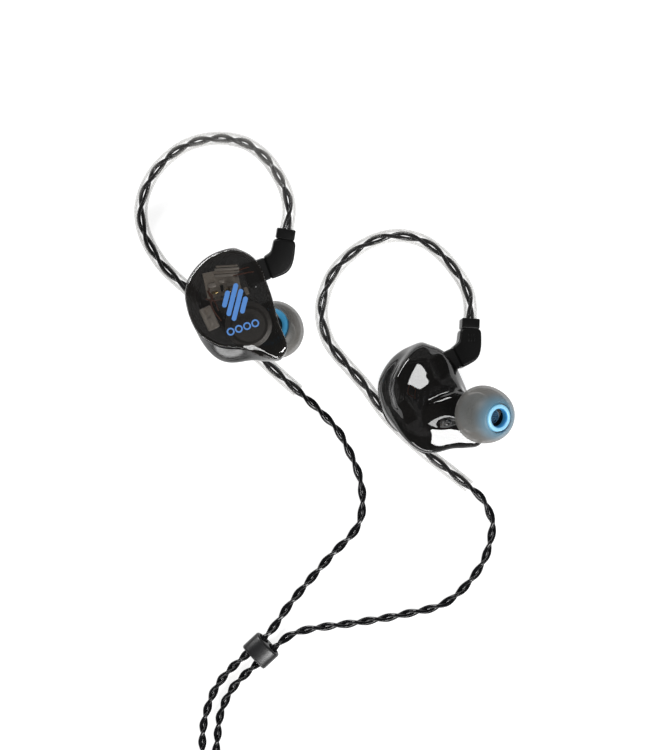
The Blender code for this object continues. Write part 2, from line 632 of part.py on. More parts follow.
def make_jack():
    """A straight 3.5 mm plug along +x, from its strain relief to its tip."""
    start = Vector(JACK_START)
    along_x = along((1, 0, 0))
    relief = [(0.0, 8.6), (3.0, 8.6), (2.8, 6.6), (2.5, 6.5), (2.5, 6.0), (2.6, 5.9), (2.4, 4.3), (2.1, 4.2),
              (2.1, 3.7), (2.2, 3.6), (2.0, 2.0), (1.7, 1.9), (1.7, 1.4), (1.75, 1.3), (1.6, 0.0), (0.0, 0.0)]
    barrel = [(0.0, 15.6), (2.3, 15.6), (2.9, 15.4), (3.1, 14.8), (3.1, 13.9), (3.7, 13.5), (3.7, 1.0),
              (3.5, 0.3), (3.2, 0.0), (0.0, 0.0)]
    contacts = (("jack_sleeve", "gold", [(0.0, 8.0), (1.75, 8.0), (1.75, 0.0), (0.0, 0.0)]),
                ("jack_insulator_1", "black_satin", [(0.0, 0.6), (1.7, 0.6), (1.7, 0.0), (0.0, 0.0)]),
                ("jack_ring", "gold", [(0.0, 1.5), (1.75, 1.5), (1.75, 0.0), (0.0, 0.0)]),
                ("jack_insulator_2", "black_satin", [(0.0, 0.6), (1.7, 0.6), (1.7, 0.0), (0.0, 0.0)]),
                ("jack_tip", "gold", [(0.0, 3.4), (0.6, 3.3), (1.7, 1.6), (1.7, 1.2), (1.2, 0.7),
                                      (1.6, 0.0), (0.0, 0.0)]))
    turned("jack_strain_relief", relief, "dark_rubber", 16, location=start, rotation=along_x)
    start.x += 8.6 + SMALL_GAP
    turned("jack_barrel", barrel, "black_satin", 24, location=start, rotation=along_x)
    start.x += 15.6 + SMALL_GAP
    for name, look, profile in contacts:
        turned(name, profile, look, 18, location=start, rotation=along_x)
        start.x += profile[0][1] + SMALL_GAP


def make_cable():
    for name in SIDES:
        make_side_cable(name)
    make_slider()
    make_coil()
    make_split()
    make_tie()
    tube("main_cable", smooth_path(MAIN_ROUTE, 2.2), MAIN_R, "black_gloss")
    make_jack()


def main():
    clear_scene()
    for name, side in SIDES.items():
        make_earpiece(name, side)
    make_cable()


main()
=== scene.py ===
"""In-ear monitors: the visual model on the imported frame, with its materials, light and camera.

Lengths are millimetres, turned into metres where a mesh is made.  Each earpiece has its own plan
frame: x and y in the faceplate's plane, and depth from the faceplate's face towards the ear.
"""

import math

import bmesh
import bpy
from mathutils import Matrix, Vector


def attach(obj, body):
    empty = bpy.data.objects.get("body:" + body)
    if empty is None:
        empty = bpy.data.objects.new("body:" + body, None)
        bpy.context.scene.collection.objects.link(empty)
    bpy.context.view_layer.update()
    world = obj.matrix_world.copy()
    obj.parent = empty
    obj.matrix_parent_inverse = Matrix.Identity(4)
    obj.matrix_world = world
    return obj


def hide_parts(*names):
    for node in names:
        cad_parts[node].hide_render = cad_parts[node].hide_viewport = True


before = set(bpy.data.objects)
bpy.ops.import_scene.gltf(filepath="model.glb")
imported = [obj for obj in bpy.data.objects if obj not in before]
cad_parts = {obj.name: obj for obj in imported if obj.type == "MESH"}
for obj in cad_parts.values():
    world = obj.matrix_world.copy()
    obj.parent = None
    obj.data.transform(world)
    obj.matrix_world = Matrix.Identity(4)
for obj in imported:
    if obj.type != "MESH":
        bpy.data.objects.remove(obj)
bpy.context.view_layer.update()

MM = 0.001

# ---- sizes shared with the frame

SIDES = {
    "left": {"hand": -1, "centre": (-23.6, 9.1, 29.8), "turn": 0.0, "lean": (0.7, -0.7), "tilt": 5.5},
    "right": {"hand": 1, "centre": (16.8, -10.4, 1.8), "turn": 6.0, "lean": (0.8, 0.6), "tilt": 10.2},
}
OUTLINE = [(-0.9, 12.0), (-6.4, 10.0), (-10.3, 5.0), (-10.2, -0.5), (-7.8, -5.6), (-3.4, -8.2),
           (1.4, -8.8), (5.4, -10.4), (8.9, -10.9), (10.7, -8.2), (8.8, -3.0), (7.1, 3.2), (4.0, 9.8)]
FACE_THICK = 1.5
RIM_DEPTH = 1.8
WALL = 0.85
BODY_END_ANGLE = math.radians(71.0)
# The housing swells past its rim: the way it faces (degrees in plan), how far, how deep in share and
# how narrow
SWELLS = ((262.0, 3.5, 0.55, 4), (85.0, 0.45, 0.8, 2))
TIP_CENTRE = Vector((8.6, -5.5, 16.0))
NOZZLE_AXIS = Vector((0.37, -0.25, 0.895)).normalized()
NOZZLE_BASE = -5.5
NOZZLE_END = 4.2
NOZZLE_BASE_R = 3.3
NOZZLE_R = 2.6
TIP_R = 6.15
CORE_BORE_R = 2.85
CORE_MOUTH_R = 1.95
TIP_FRONT = 6.4
SEAM = Vector((6.75, 8.05, 4.6))
LEG_ANGLE = math.radians(-9.0)
PLUG_THICK = 4.2
PLUG_OUTLINE = [(-0.7, 2.35), (0.5, 3.2), (0.85, 4.2), (1.25, 6.2), (5.75, 5.7), (5.6, 3.4),
                (5.3, 1.4), (4.7, -0.2), (3.6, -1.3), (0.95, -2.3)]
COLLAR_SIZE = (3.9, 1.9, 3.7)
COLLAR_CENTRE = (3.7, 7.15)
VENT_PLACE = (2.3, -6.0)

SLEEVE_R = 1.45
SLEEVE_WALL = 0.28
SLEEVE_LENGTH = {"left": 113.0, "right": 105.0}
ROUTES = {
    "left": [(-13.2, 26.0, 25.6), (-12.7, 29.3, 25.3), (-13.4, 33.4, 24.2), (-15.1, 37.0, 22.2),
             (-17.7, 40.8, 19.7), (-21.6, 43.9, 17.0), (-26.3, 45.3, 14.3), (-30.6, 45.3, 11.8),
             (-35.0, 44.2, 9.4), (-39.0, 41.7, 7.3), (-42.3, 38.2, 5.5), (-44.3, 34.3, 4.0),
             (-45.1, 30.1, 2.8), (-44.3, 25.5, 2.0), (-42.1, 21.2, 1.6), (-38.9, 17.2, 1.5),
             (-31.2, 10.4, 1.5), (-23.5, 2.8, 1.5), (-16.6, -3.6, 1.5), (-8.3, -10.9, 1.5),
             (-4.7, -14.5, 1.3), (-1.6, -18.4, 1.0), (2.5, -28.1, 1.0), (2.1, -37.3, 1.0),
             (-4.2, -44.5, 1.0), (-10.3, -51.6, 1.0), (-13.4, -55.5, 1.1), (-16.0, -59.3, 1.5),
             (-18.6, -62.2, 1.8), (-22.5, -65.8, 1.8), (-26.3, -69.4, 1.8), (-28.9, -72.9, 1.4),
             (-30.6, -77.0, 1.0), (-31.7, -82.0, 1.0), (-31.8, -90.0, 1.2), (-31.5, -102.3, 1.6)],
    "right": [(26.15, 7.5, 3.2), (26.2, 10.5, 2.8), (25.3, 14.0, 2.5), (23.3, 17.3, 2.3),
              (20.2, 21.0, 2.1), (16.3, 23.9, 1.9), (11.6, 25.2, 1.7), (7.3, 24.8, 1.6),
              (3.0, 23.0, 1.5), (-0.9, 20.0, 1.5), (-3.8, 16.4, 1.5), (-5.4, 12.4, 1.5),
              (-6.0, 8.5, 1.5), (-5.2, 4.2, 1.5), (-3.1, 0.2, 1.5), (3.4, -7.3, 1.5),
              (8.9, -14.6, 1.5), (16.0, -21.3, 1.5), (22.5, -26.4, 1.5), (28.4, -31.3, 1.5),
              (30.6, -35.2, 1.2), (31.1, -38.8, 1.0), (28.6, -46.5, 1.0), (21.4, -54.2, 1.0),
              (11.7, -57.0, 1.0), (1.4, -58.8, 1.0), (-7.6, -60.0, 1.1), (-12.6, -61.4, 1.5),
              (-16.4, -64.3, 1.8), (-20.2, -67.8, 1.8), (-24.0, -71.4, 1.8), (-26.3, -74.6, 1.4),
              (-28.0, -79.0, 1.0), (-28.6, -84.0, 1.0), (-29.1, -90.0, 1.2), (-29.4, -98.8, 1.6)],
}
SLIDER_CENTRE = (-19.35, -64.95, 1.8)
SLIDER_ANGLE = math.radians(223.0)
SLIDER_LENGTH = 4.2
SLIDER_WIDTH = 6.8
SLIDER_THICK = 3.5
SLIDER_BORE_R = 1.25
SLIDER_BORE_OFFSET = 1.45
COIL_CENTRE = Vector((-11.3, -112.0, 0.0))
SPLIT_OFFSET = 7.0
SPLIT_ANGLE = math.radians(45.0)
SPLIT_OUTLINE = [(-5.5, 2.1), (-2.0, 2.2), (2.5, 1.7), (6.3, 1.5), (6.3, -1.5), (2.5, -1.7),
                 (-2.0, -2.2), (-5.5, -2.1)]
SPLIT_THICK = 3.2
MAIN_ROUTE = [(-7.9, -134.3, 6.4), (-4.5, -135.3, 5.2), (-1.4, -136.0, 4.2), (2.0, -136.2, 3.8)]
JACK_START = Vector((2.3, -136.2, 3.8))

# ---- camera and floor

VIEW_CENTRE = Vector((-5.22, -5.0, 0.0))
CAMERA_HEIGHT = 650.0
LENS = 143.5
FLOOR_SIZE = 4000.0


def linked(name, data):
    """A new object in the scene."""
    obj = bpy.data.objects.new(name, data)
    bpy.context.scene.collection.objects.link(obj)
    return obj


def make_camera():
    data = bpy.data.cameras.new("camera")
    data.lens = LENS
    data.sensor_width = 36.0
    data.clip_start, data.clip_end = 0.02, 20.0
    camera = linked("camera", data)
    camera.location = (VIEW_CENTRE + Vector((0, 0, CAMERA_HEIGHT))) * MM
    bpy.context.scene.camera = camera


# ---- mesh helpers

def piece(name, shape, body, look, replaces=(), sharp=40.0, inner=None):
    """A mesh from (points in world millimetres, faces), riding on a body. inner is a second look."""
    points, faces = shape
    mesh = bpy.data.meshes.new(name)
    mesh.from_pydata([tuple(Vector(p) * MM) for p in points], [], faces)
    mesh.validate()
    form = bmesh.new()
    form.from_mesh(mesh)
    bmesh.ops.recalc_face_normals(form, faces=form.faces)
    form.to_mesh(mesh)
    form.free()
    mesh.shade_smooth()
    mesh.set_sharp_from_angle(angle=math.radians(sharp))
    obj = linked(name, mesh)
    mesh.materials.append(LOOKS[look])
    if inner:
        mesh.materials.append(LOOKS[inner])
    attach(obj, body)
    if replaces:
        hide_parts(*replaces)
    return obj


def ease(t):
    """From 0 to 1 with level ends."""
    t = min(1.0, max(0.0, t))
    return t * t * (3 - 2 * t)


def ring_faces(rows, columns, first=0, wrap=False):
    """Quads between consecutive rings of points; wrap joins the last ring to the first."""
    faces = []
    for i in range(rows if wrap else rows - 1):
        a, b = first + i * columns, first + ((i + 1) % rows) * columns
        faces += [(a + j, a + (j + 1) % columns, b + (j + 1) % columns, b + j) for j in range(columns)]
    return faces


def capped(rows, columns):
    """The faces of a tube of rings with both its ends closed."""
    ends = [tuple(range(start, start + columns)) for start in (0, (rows - 1) * columns)]
    return ring_faces(rows, columns) + ends


def spline_point(a, b, c, d, t):
    """A point on the Catmull-Rom curve between b and c."""
    return 0.5 * (2 * b + (c - a) * t + (2 * a - 5 * b + 4 * c - d) * t ** 2
                  + (3 * b - a - 3 * c + d) * t ** 3)


def even(dense, count):
    """count points spread evenly along the polyline dense, ends included."""
    marks = [0.0]
    for a, b in zip(dense, dense[1:]):
        marks.append(marks[-1] + (b - a).length)
    found, at = [], 0
    for i in range(count):
        wanted = marks[-1] * i / (count - 1)
        while at < len(marks) - 2 and marks[at + 1] < wanted:
            at += 1
        share = (wanted - marks[at]) / (marks[at + 1] - marks[at])
        found.append(dense[at].lerp(dense[at + 1], min(share, 1.0)))
    return found


def length_of(points):
    return sum((b - a).length for a, b in zip(points, points[1:]))


def smooth_path(points, step):
    """Points along an open smooth curve through points, about step apart."""
    knots = [Vector(p) for p in points]
    knots = [2 * knots[0] - knots[1]] + knots + [2 * knots[-1] - knots[-2]]
    dense = [spline_point(*knots[i:i + 4], j / 24) for i in range(len(knots) - 3) for j in range(24)]
    dense.append(knots[-2])
    return even(dense, max(2, round(length_of(dense) / step)) + 1)


def smooth_loop(points, count):
    """count points along a closed smooth curve through points, evenly spaced."""
    knots = [Vector(p) for p in points]
    n = len(knots)
    dense = [spline_point(knots[i - 1], knots[i], knots[(i + 1) % n], knots[(i + 2) % n], j / 24)
             for i in range(n) for j in range(24)]
    return even(dense + dense[:1], count + 1)[:-1]


def path_frames(points):
    """(point, side, up) along a path, turning as little as it can."""
    found, up = [], Vector((0, 0, 1))
    for i, point in enumerate(points):
        ahead = (points[min(i + 1, len(points) - 1)] - points[max(i - 1, 0)]).normalized()
        side = ahead.cross(up).normalized()
        up = side.cross(ahead).normalized()
        found.append((point, side, up))
    return found


def angles(count):
    """count angles, once round."""
    return [2 * math.pi * i / count for i in range(count)]


def sweep(rings_of, frames, sides):
    """Points and faces of a capped tube. rings_of(i) gives (across, above, radius) of its middle."""
    points = []
    for i, (point, side, up) in enumerate(frames):
        across, above, radius = rings_of(i)
        middle = point + side * across + up * above
        points += [middle + side * (radius * math.cos(a)) + up * (radius * math.sin(a))
                   for a in angles(sides)]
    return points, capped(len(frames), sides)


def tube(frames, radius, sides):
    return sweep(lambda i: (0, 0, radius), frames, sides)


def joined(parts):
    """Several (points, faces) as one."""
    points, faces = [], []
    for part_points, part_faces in parts:
        faces += [tuple(len(points) + i for i in face) for face in part_faces]
        points += part_points
    return points, faces


def lathe(profile, steps, matrix):
    """Points and faces of a closed profile of (radius, height) turned round its axis."""
    points = [matrix @ Vector((r * math.cos(a), r * math.sin(a), z))
              for r, z in profile for a in angles(steps)]
    return points, ring_faces(len(profile), steps, wrap=True)


def rounded_prism(outline, thick, edge, segments, matrix):
    """Points and faces of an outline's prism, centred on its plane, with rounded edges."""
    form = bmesh.new()
    low = [form.verts.new((x, y, -thick / 2)) for x, y in outline]
    face = form.faces.new(low)
    made = bmesh.ops.extrude_face_region(form, geom=[face])
    top = [v for v in made["geom"] if isinstance(v, bmesh.types.BMVert)]
    bmesh.ops.translate(form, verts=top, vec=(0, 0, thick))
    form.normal_update()
    edges = [e for e in form.edges if e.calc_face_angle(0) > math.radians(40)]
    bmesh.ops.bevel(form, geom=edges, offset=edge, segments=segments, profile=0.5, affect="EDGES",
                    clamp_overlap=True)
    form.verts.index_update()
    points = [matrix @ v.co for v in form.verts]
    faces = [tuple(v.index for v in f.verts) for f in form.faces]
    form.free()
    return points, faces


def box_outline(width, height):
    return [(-width / 2, -height / 2), (width / 2, -height / 2), (width / 2, height / 2),
            (-width / 2, height / 2)]


def rounded_outline(outline, radius, steps=5, sharp=()):
    """The outline with its corners rounded, apart from the sharp ones."""
    found = []
    n = len(outline)
    for i in range(n):
        before, here, after = (Vector(outline[k]) for k in ((i - 1) % n, i, (i + 1) % n))
        if i in sharp:
            found.append(tuple(here))
            continue
        a = here + (before - here).normalized() * min(radius, (before - here).length / 2.2)
        b = here + (after - here).normalized() * min(radius, (after - here).length / 2.2)
        for j in range(steps + 1):
            t = j / steps
            found.append(tuple(a.lerp(here, t).lerp(here.lerp(b, t), t)))
    return found


# ---- materials

def node(tree, kind, inputs=None, **settings):
    """A new shader node. Each input is a value, or a socket to link from."""
    made = tree.nodes.new(kind)
    for label, value in settings.items():
        setattr(made, label, value)
    for key, value in (inputs or {}).items():
        if isinstance(value, bpy.types.NodeSocket):
            tree.links.new(value, made.inputs[key])
        else:
            made.inputs[key].default_value = value
    return made


def varied(name, low, high, rough, scale=2.0, bump=0.0, **sockets):
    """A look whose colour and roughness go from one end to the other by a noise, with its bump.

    Returns the material, its node tree and its shader. scale is the noise's, per millimetre.
    """
    made = bpy.data.materials.new(name)
    made.use_nodes = True
    tree = made.node_tree
    shader = tree.nodes["Principled BSDF"]
    sockets = {"Base_Color": (*low, 1.0), "Roughness": rough[0], **sockets}
    for label, value in sockets.items():
        shader.inputs[label.replace("_", " ")].default_value = value
    where = node(tree, "ShaderNodeTexCoord").outputs["Object"]
    place = node(tree, "ShaderNodeVectorMath", {0: where, "Scale": scale / MM}, operation="SCALE")
    wave = node(tree, "ShaderNodeTexNoise", {"Vector": place.outputs["Vector"], "Detail": 3.0}).outputs["Fac"]
    ramp = node(tree, "ShaderNodeValToRGB", {"Fac": wave})
    for end, position, colour in zip(ramp.color_ramp.elements, (0.3, 0.7), (low, high)):
        end.position = position
        end.color = (*colour, 1.0)
    tree.links.new(ramp.outputs["Color"], shader.inputs["Base Color"])
    span = node(tree, "ShaderNodeMapRange", {"Value": wave, "To Min": rough[0], "To Max": rough[1]})
    tree.links.new(span.outputs["Result"], shader.inputs["Roughness"])
    if bump:
        lift = node(tree, "ShaderNodeBump", {"Height": wave, "Strength": 1.0, "Distance": bump * MM})
        tree.links.new(lift.outputs["Normal"], shader.inputs["Normal"])
    return made, tree, shader


def plain(*shades, **sockets):
    """The material alone."""
    return varied(*shades, **sockets)[0]


def solid_edges(tree, shader, blend, start, middle_share, edge_share):
    """Opaque by middle_share where a surface faces the eye, and by edge_share at its edges."""
    edge = node(tree, "ShaderNodeLayerWeight", {"Blend": blend})
    solid = node(tree, "ShaderNodeMapRange", {"Value": edge.outputs["Facing"], "From Min": start,
                                              "To Min": middle_share, "To Max": edge_share})
    tree.links.new(solid.outputs["Result"], shader.inputs["Alpha"])


def smoky(name, clearness, gloss, tint, coat, coat_index, shine=0.5):
    """See-through resin: clearness is the share of light that one surface lets through."""
    made, tree, shader = varied(name, tint, tuple(c * 1.6 for c in tint), (gloss, gloss * 1.6), 0.35, IOR=1.5,
                                Coat_Weight=coat, Coat_Roughness=gloss, Coat_IOR=coat_index,
                                Specular_IOR_Level=shine)
    solid_edges(tree, shader, 0.25, 0.3, 1 - clearness, 1.0)
    return made


def clear(name, tint, share, edge_share, gloss):
    """Thin clear tubing, most of it let through, and more solid towards its edges."""
    made, tree, shader = varied(name, tint, tuple(c * 1.12 for c in tint), (gloss, gloss * 2), 0.6, 0.01,
                                IOR=1.45)
    solid_edges(tree, shader, 0.5, 0.1, share, edge_share)
    return made


# Distances from an ear tip's axis between which its colour changes: painted blue light of the core in the
# dome, and painted shade in the core's bore
CORE_LIGHT_REACH = (3.1, 5.6)
BORE_SHADE_REACH = (1.98, 2.2)
CORE_LIGHT_SHARE = {"left": 0.08, "right": 0.5}       # how much painted blue light from the core shows on each dome
# Blue silicone: its two shades, painted lighter or darker on each side for how light falls on that tip, and a
# painted glow for the light that it lets through
CORE_BLUE_AS_LIT = {"left": ((0.05, 0.3, 0.56), (0.07, 0.35, 0.63), 0.05),
             "right": ((0.22, 0.48, 0.66), (0.28, 0.55, 0.73), 0.15)}


def tint_near_axis(tree, shader, side, reach, share, colour):
    """Blend colour into the shader's own by the distance from the ear tip's axis."""
    axis = tip_frame(side)
    where = node(tree, "ShaderNodeTexCoord").outputs["Object"]
    away = node(tree, "ShaderNodeVectorMath", {0: where, 1: axis.translation * MM}, operation="SUBTRACT")
    across = node(tree, "ShaderNodeVectorMath", {0: away.outputs["Vector"], 1: axis.col[2].to_3d()},
                  operation="CROSS_PRODUCT")
    distance = node(tree, "ShaderNodeVectorMath", {0: across.outputs["Vector"]}, operation="LENGTH")
    fade = node(tree, "ShaderNodeMapRange", {"Value": distance.outputs["Value"], "From Min": reach[0] * MM,
                                             "From Max": reach[1] * MM, "To Min": share, "To Max": 0.0},
                interpolation_type="SMOOTHSTEP")
    own = shader.inputs["Base Color"].links[0].from_socket
    blend = node(tree, "ShaderNodeMix", {"Factor": fade.outputs["Result"]}, data_type="RGBA")
    tree.links.new(own, blend.inputs["A"])
    blend.inputs["B"].default_value = (*colour, 1.0)
    tree.links.new(blend.outputs["Result"], shader.inputs["Base Color"])


def make_dome_look(name, side):
    """Grey silicone, partly see-through, with painted blue light from the core where the core lies close
    under it.
    """
    made, tree, shader = varied(f"{name}_grey_silicone", (0.1, 0.094, 0.084), (0.13, 0.122, 0.11),
                                (0.42, 0.55), 2.0, 0.008, Roughness=0.45, Alpha=0.7)
    # painted blue light from the core, strongest near the tip's axis
    tint_near_axis(tree, shader, side, CORE_LIGHT_REACH, CORE_LIGHT_SHARE[name], (0.1, 0.33, 0.5))
    return made


def make_core_look(name, side):
    """Blue silicone with a painted glow for the light that it lets through, and painted shade in deeper blue
    inside its bore.
    """
    # each side's blue is painted lighter or darker for how that tip is lit, and its emission is a painted
    # glow
    low, high, glow = CORE_BLUE_AS_LIT[name]
    made, tree, shader = varied(f"{name}_blue_silicone", low, high, (0.3, 0.42), 1.5, 0.005,
                                Emission_Strength=glow, Emission_Color=(0.12, 0.47, 0.7, 1.0))
    # painted shade: deeper blue on the bore's inner wall
    tint_near_axis(tree, shader, side, BORE_SHADE_REACH, 1.0, (0.01, 0.15, 0.4))
    return made


def make_looks():
    return {
        "strand": plain("cable_cover", (0.0025, 0.0025, 0.003), (0.006, 0.006, 0.007), (0.1, 0.18), 3.0,
                        0.006, Specular_IOR_Level=0.25),
        "clear_tube": clear("clear_tube", (0.52, 0.51, 0.49), 0.012, 0.7, 0.08),
        "sound_tube": clear("sound_tube", (0.5, 0.48, 0.45), 0.25, 0.9, 0.1),
        "satin": plain("satin_black", (0.003, 0.003, 0.003), (0.006, 0.006, 0.006), (0.28, 0.36), 5.0, 0.008,
                       Specular_IOR_Level=0.17),
        "matt": plain("matt_rubber", (0.008, 0.008, 0.0085), (0.018, 0.018, 0.019), (0.38, 0.55), 6.0, 0.015,
                      Specular_IOR_Level=0.4),
        "slider": plain("slider_rubber", (0.005, 0.005, 0.0055), (0.01, 0.01, 0.011), (0.3, 0.4), 6.0, 0.01,
                        Specular_IOR_Level=0.6),
        "face": smoky("smoky_face", 0.66, 0.03, (0.006, 0.0055, 0.005), 1.0, 2.1),
        "left_shell": smoky("smoky_left_shell", 0.11, 0.16, (0.004, 0.0038, 0.0036), 0.3, 1.4),
        "right_shell": smoky("smoky_right_shell", 0.11, 0.03, (0.004, 0.0038, 0.0036), 0.3, 1.4),
        "shell_inside": smoky("smoky_inside", 0.2, 0.25, (0.012, 0.009, 0.007), 0.0, 1.4, 0.15),
        "mark": plain("blue_print", (0.045, 0.15, 0.4), (0.055, 0.18, 0.46), (0.35, 0.5), 4.0),
        "mesh": plain("dark_mesh", (0.02, 0.07, 0.13), (0.045, 0.13, 0.22), (0.35, 0.5), 6.0),
        "vent": plain("vent_metal", (0.07, 0.07, 0.07), (0.14, 0.14, 0.14), (0.25, 0.4), 6.0, Metallic=1.0),
        "gold": plain("gold_plate", (0.8, 0.55, 0.22), (0.9, 0.66, 0.3), (0.14, 0.28), 3.0, 0.002,
                      Metallic=1.0),
        "gloss": plain("gloss_black", (0.006, 0.006, 0.006), (0.012, 0.012, 0.012), (0.12, 0.24), 4.0),
        "can": plain("driver_can", (0.32, 0.28, 0.24), (0.46, 0.41, 0.36), (0.35, 0.5), 1.5, Metallic=0.2),
        "board": plain("circuit_board", (0.22, 0.18, 0.14), (0.38, 0.33, 0.28), (0.4, 0.6), 1.2),
        "dark_can": plain("dark_can", (0.07, 0.065, 0.06), (0.13, 0.12, 0.11), (0.3, 0.45), 1.5,
                          Metallic=0.5),
        "dull_copper": plain("dull_copper", (0.09, 0.025, 0.012), (0.16, 0.045, 0.02), (0.3, 0.45), 4.0),
        "copper": plain("copper_wire", (0.6, 0.16, 0.06), (0.75, 0.26, 0.11), (0.25, 0.4), 4.0),
    }


LOOKS = make_looks()


def floor_look():
    """White paper that glows a little, so that it stays white under the small lights."""
    return plain("pale_floor", (0.33, 0.33, 0.33), (0.35, 0.35, 0.35), (0.6, 0.8), 0.01,
                 Emission_Color=(1, 1, 1, 1), Emission_Strength=0.88)


def make_floor():
    mesh = bpy.data.meshes.new("floor")
    half = FLOOR_SIZE / 2 * MM
    mesh.from_pydata([(-half, -half, 0), (half, -half, 0), (half, half, 0), (-half, half, 0)], [],
                     [(0, 1, 2, 3)])
    mesh.materials.append(floor_look())
    linked("floor", mesh)


# Each light: where it stands, its width and height, its roll in degrees, and its power in watts
LIGHTS = {
    "front_softbox": ((312, -302, 549), (280, 240), 22.0, 4.8),
    "rear_left_softbox": ((-250, 475, 425), (430, 165), 20.0, 3.2),
    "low_front_softbox": ((-163, -653, 195), (620, 150), 0.0, 2.7),
}
WORLD_STRENGTH = 0.06


def make_lights():
    for name, (place, size, roll, power) in LIGHTS.items():
        data = bpy.data.lights.new(name, "AREA")
        data.shape = "RECTANGLE"
        data.size, data.size_y = size[0] * MM, size[1] * MM
        data.energy = power
        light = linked(name, data)
        light.location = Vector(place) * MM
        facing = (-Vector(place)).to_track_quat("-Z", "Y").to_matrix()
        light.rotation_euler = (facing @ Matrix.Rotation(math.radians(roll), 3, "Z")).to_euler()
        light.visible_camera = False
    world = bpy.data.worlds.new("studio")
    world.use_nodes = True
    world.node_tree.nodes["Background"].inputs["Color"].default_value = (1, 1, 1, 1)
    world.node_tree.nodes["Background"].inputs["Strength"].default_value = WORLD_STRENGTH
    bpy.context.scene.world = world
    bpy.context.scene.view_settings.view_transform = "Standard"


# ---- the cable's routes

COIL_STEP = 20                  # degrees between a coil's points
SIDE_LAYER = 1.72               # height of the coil's first layer, of the side cables
SIDE_PITCH = 4.0                # from one turn to the next, with room for both side cables
SIDE_RADII = {"left": 20.0, "right": 18.0}
SIDE_TURN = (180, 680)
SPLIT_HEADING = Vector((-1, 1, 0)).normalized()
MAIN_PITCH = 2.42
MAIN_INNER = 12.4
MAIN_OUTER = MAIN_INNER + 3 * MAIN_PITCH
MAIN_LAYERS = (3.9, 6.3, 8.7)
CLIMB = 60                      # degrees in which the cable rises to the next layer
START_INSIDE = 1.6              # how deep in the plug's collar the cable begins
SPLIT_BORE = 1.02               # from the Y-split's middle to each side cable
SPLIT_MOUTHS = (-5.3, 6.1)      # where the side cables and the main cable end in the Y-split
SPLIT_LEAD = 3.2                # the side cables' straight run into the Y-split
MAIN_OUT = (140, 1220)          # the main cable's turns: outwards, back over them, and the last ones
MAIN_BACK = (1240, 2300)
MAIN_LAST = (2320, 2380)
MAIN_RISE = ((8.2, 0.35), (112, 12.0, 3.0))     # out of the Y-split (along, up), then on to the coil
MAIN_OVER = ((244, 14.6, 8.7), (259, 17.6, 8.7), (270, 20.4, 8.5))      # across the coil to its outside


def on_coil(angle, radius, height):
    a = math.radians(angle)
    return COIL_CENTRE + Vector((radius * math.cos(a), radius * math.sin(a), height))


def turns(start, end, radius_at, height_at):
    return [on_coil(a, radius_at(a), height_at(a)) for a in range(start, end + 1, COIL_STEP)]


def split_frame():
    """The Y-split's own frame: y is along it, from the side cables' end to the main cable's."""
    across = Matrix.Rotation(SPLIT_ANGLE, 4, "Z")
    middle = COIL_CENTRE + across @ Vector((SPLIT_OFFSET, 0, SPLIT_THICK / 2 + 0.05))
    return Matrix.Translation(middle) @ across


def side_route(name):
    """From the plug's collar to the Y-split, through the coil."""
    first, last = SIDE_TURN
    outer = SIDE_RADII[name]
    coil = turns(first, last, lambda a: outer - SIDE_PITCH * (a - first) / 360, lambda a: SIDE_LAYER)
    shift = SPLIT_BORE if name == "left" else -SPLIT_BORE
    mouth = split_frame() @ Vector((shift, SPLIT_MOUTHS[0], 0.0))
    before = mouth - SPLIT_HEADING * SPLIT_LEAD
    first_two = [Vector(p) for p in ROUTES[name][:2]]
    inside = first_two[0] - (first_two[1] - first_two[0]).normalized() * START_INSIDE
    return [inside] + ROUTES[name][1:] + coil + [before, mouth]


def main_route():
    """From the Y-split, up into the coil's upper layers, and out over it to the plug."""
    low, middle, high = MAIN_LAYERS

    def climb(a, end, below, above):
        return below + (above - below) * ease((a - end + CLIMB) / CLIMB)

    def spiral(start, end, inner, way, height_at):
        return turns(start, end, lambda a: inner + way * MAIN_PITCH * (a - start) / 360, height_at)

    split = split_frame()
    along, up = MAIN_RISE[0]
    start = [split @ Vector((0, SPLIT_MOUTHS[1], 0)), split @ Vector((0, along, up)), on_coil(*MAIN_RISE[1])]
    out = spiral(*MAIN_OUT, MAIN_INNER, 1, lambda a: climb(a, MAIN_OUT[1], low, middle))
    back = spiral(*MAIN_BACK, MAIN_OUTER, -1, lambda a: climb(a, MAIN_BACK[1], middle, high))
    last = spiral(*MAIN_LAST, MAIN_INNER, 1, lambda a: high)
    over = [on_coil(*point) for point in MAIN_OVER]
    return start + out + back + last + over + MAIN_ROUTE


# ---- the cable's pieces

STRAND_STEP = 0.42
STRAND_SIDES = 9
TWIST = {"hook": 12.6, "upper": 9.0, "lower": 7.4}      # length of one full turn
SLIDER_AT = {"left": 182.0, "right": 176.0}             # along the cable, where its twist tightens
# How far a strand runs from the pair's middle, looser inside the ear hook
PAIR_SPREAD = 0.47
HOOK_SPREAD = 0.53
HOOK_EASE = 4.0
PAIR_STRAND_R = 0.455
PAIR_PHASE = 0.6
MAIN_SPREAD = 0.66
MAIN_STRAND_R = 0.53
MAIN_TWIST = 9.0


def twist_phase(path, pitch_at):
    """The pair's angle at each point, turning once in each pitch."""
    phase, found, gone = 0.0, [], 0.0
    for i in range(len(path)):
        found.append(phase)
        if i + 1 < len(path):
            step = (path[i + 1] - path[i]).length
            gone += step
            phase -= 2 * math.pi * step / pitch_at(gone)
    return found


def strands(path, count, spread_at, radius, pitch_at, first_phase=0.0):
    """count strands wound round the path, spread_at(i) from it at its point i."""
    frames = path_frames(path)
    phase = twist_phase(path, pitch_at)
    parts = []
    for k in range(count):
        def where(i, k=k):
            a = phase[i] + first_phase + 2 * math.pi * k / count
            return spread_at(i) * math.cos(a), spread_at(i) * math.sin(a), radius
        parts.append(sweep(where, frames, STRAND_SIDES))
    return joined(parts)


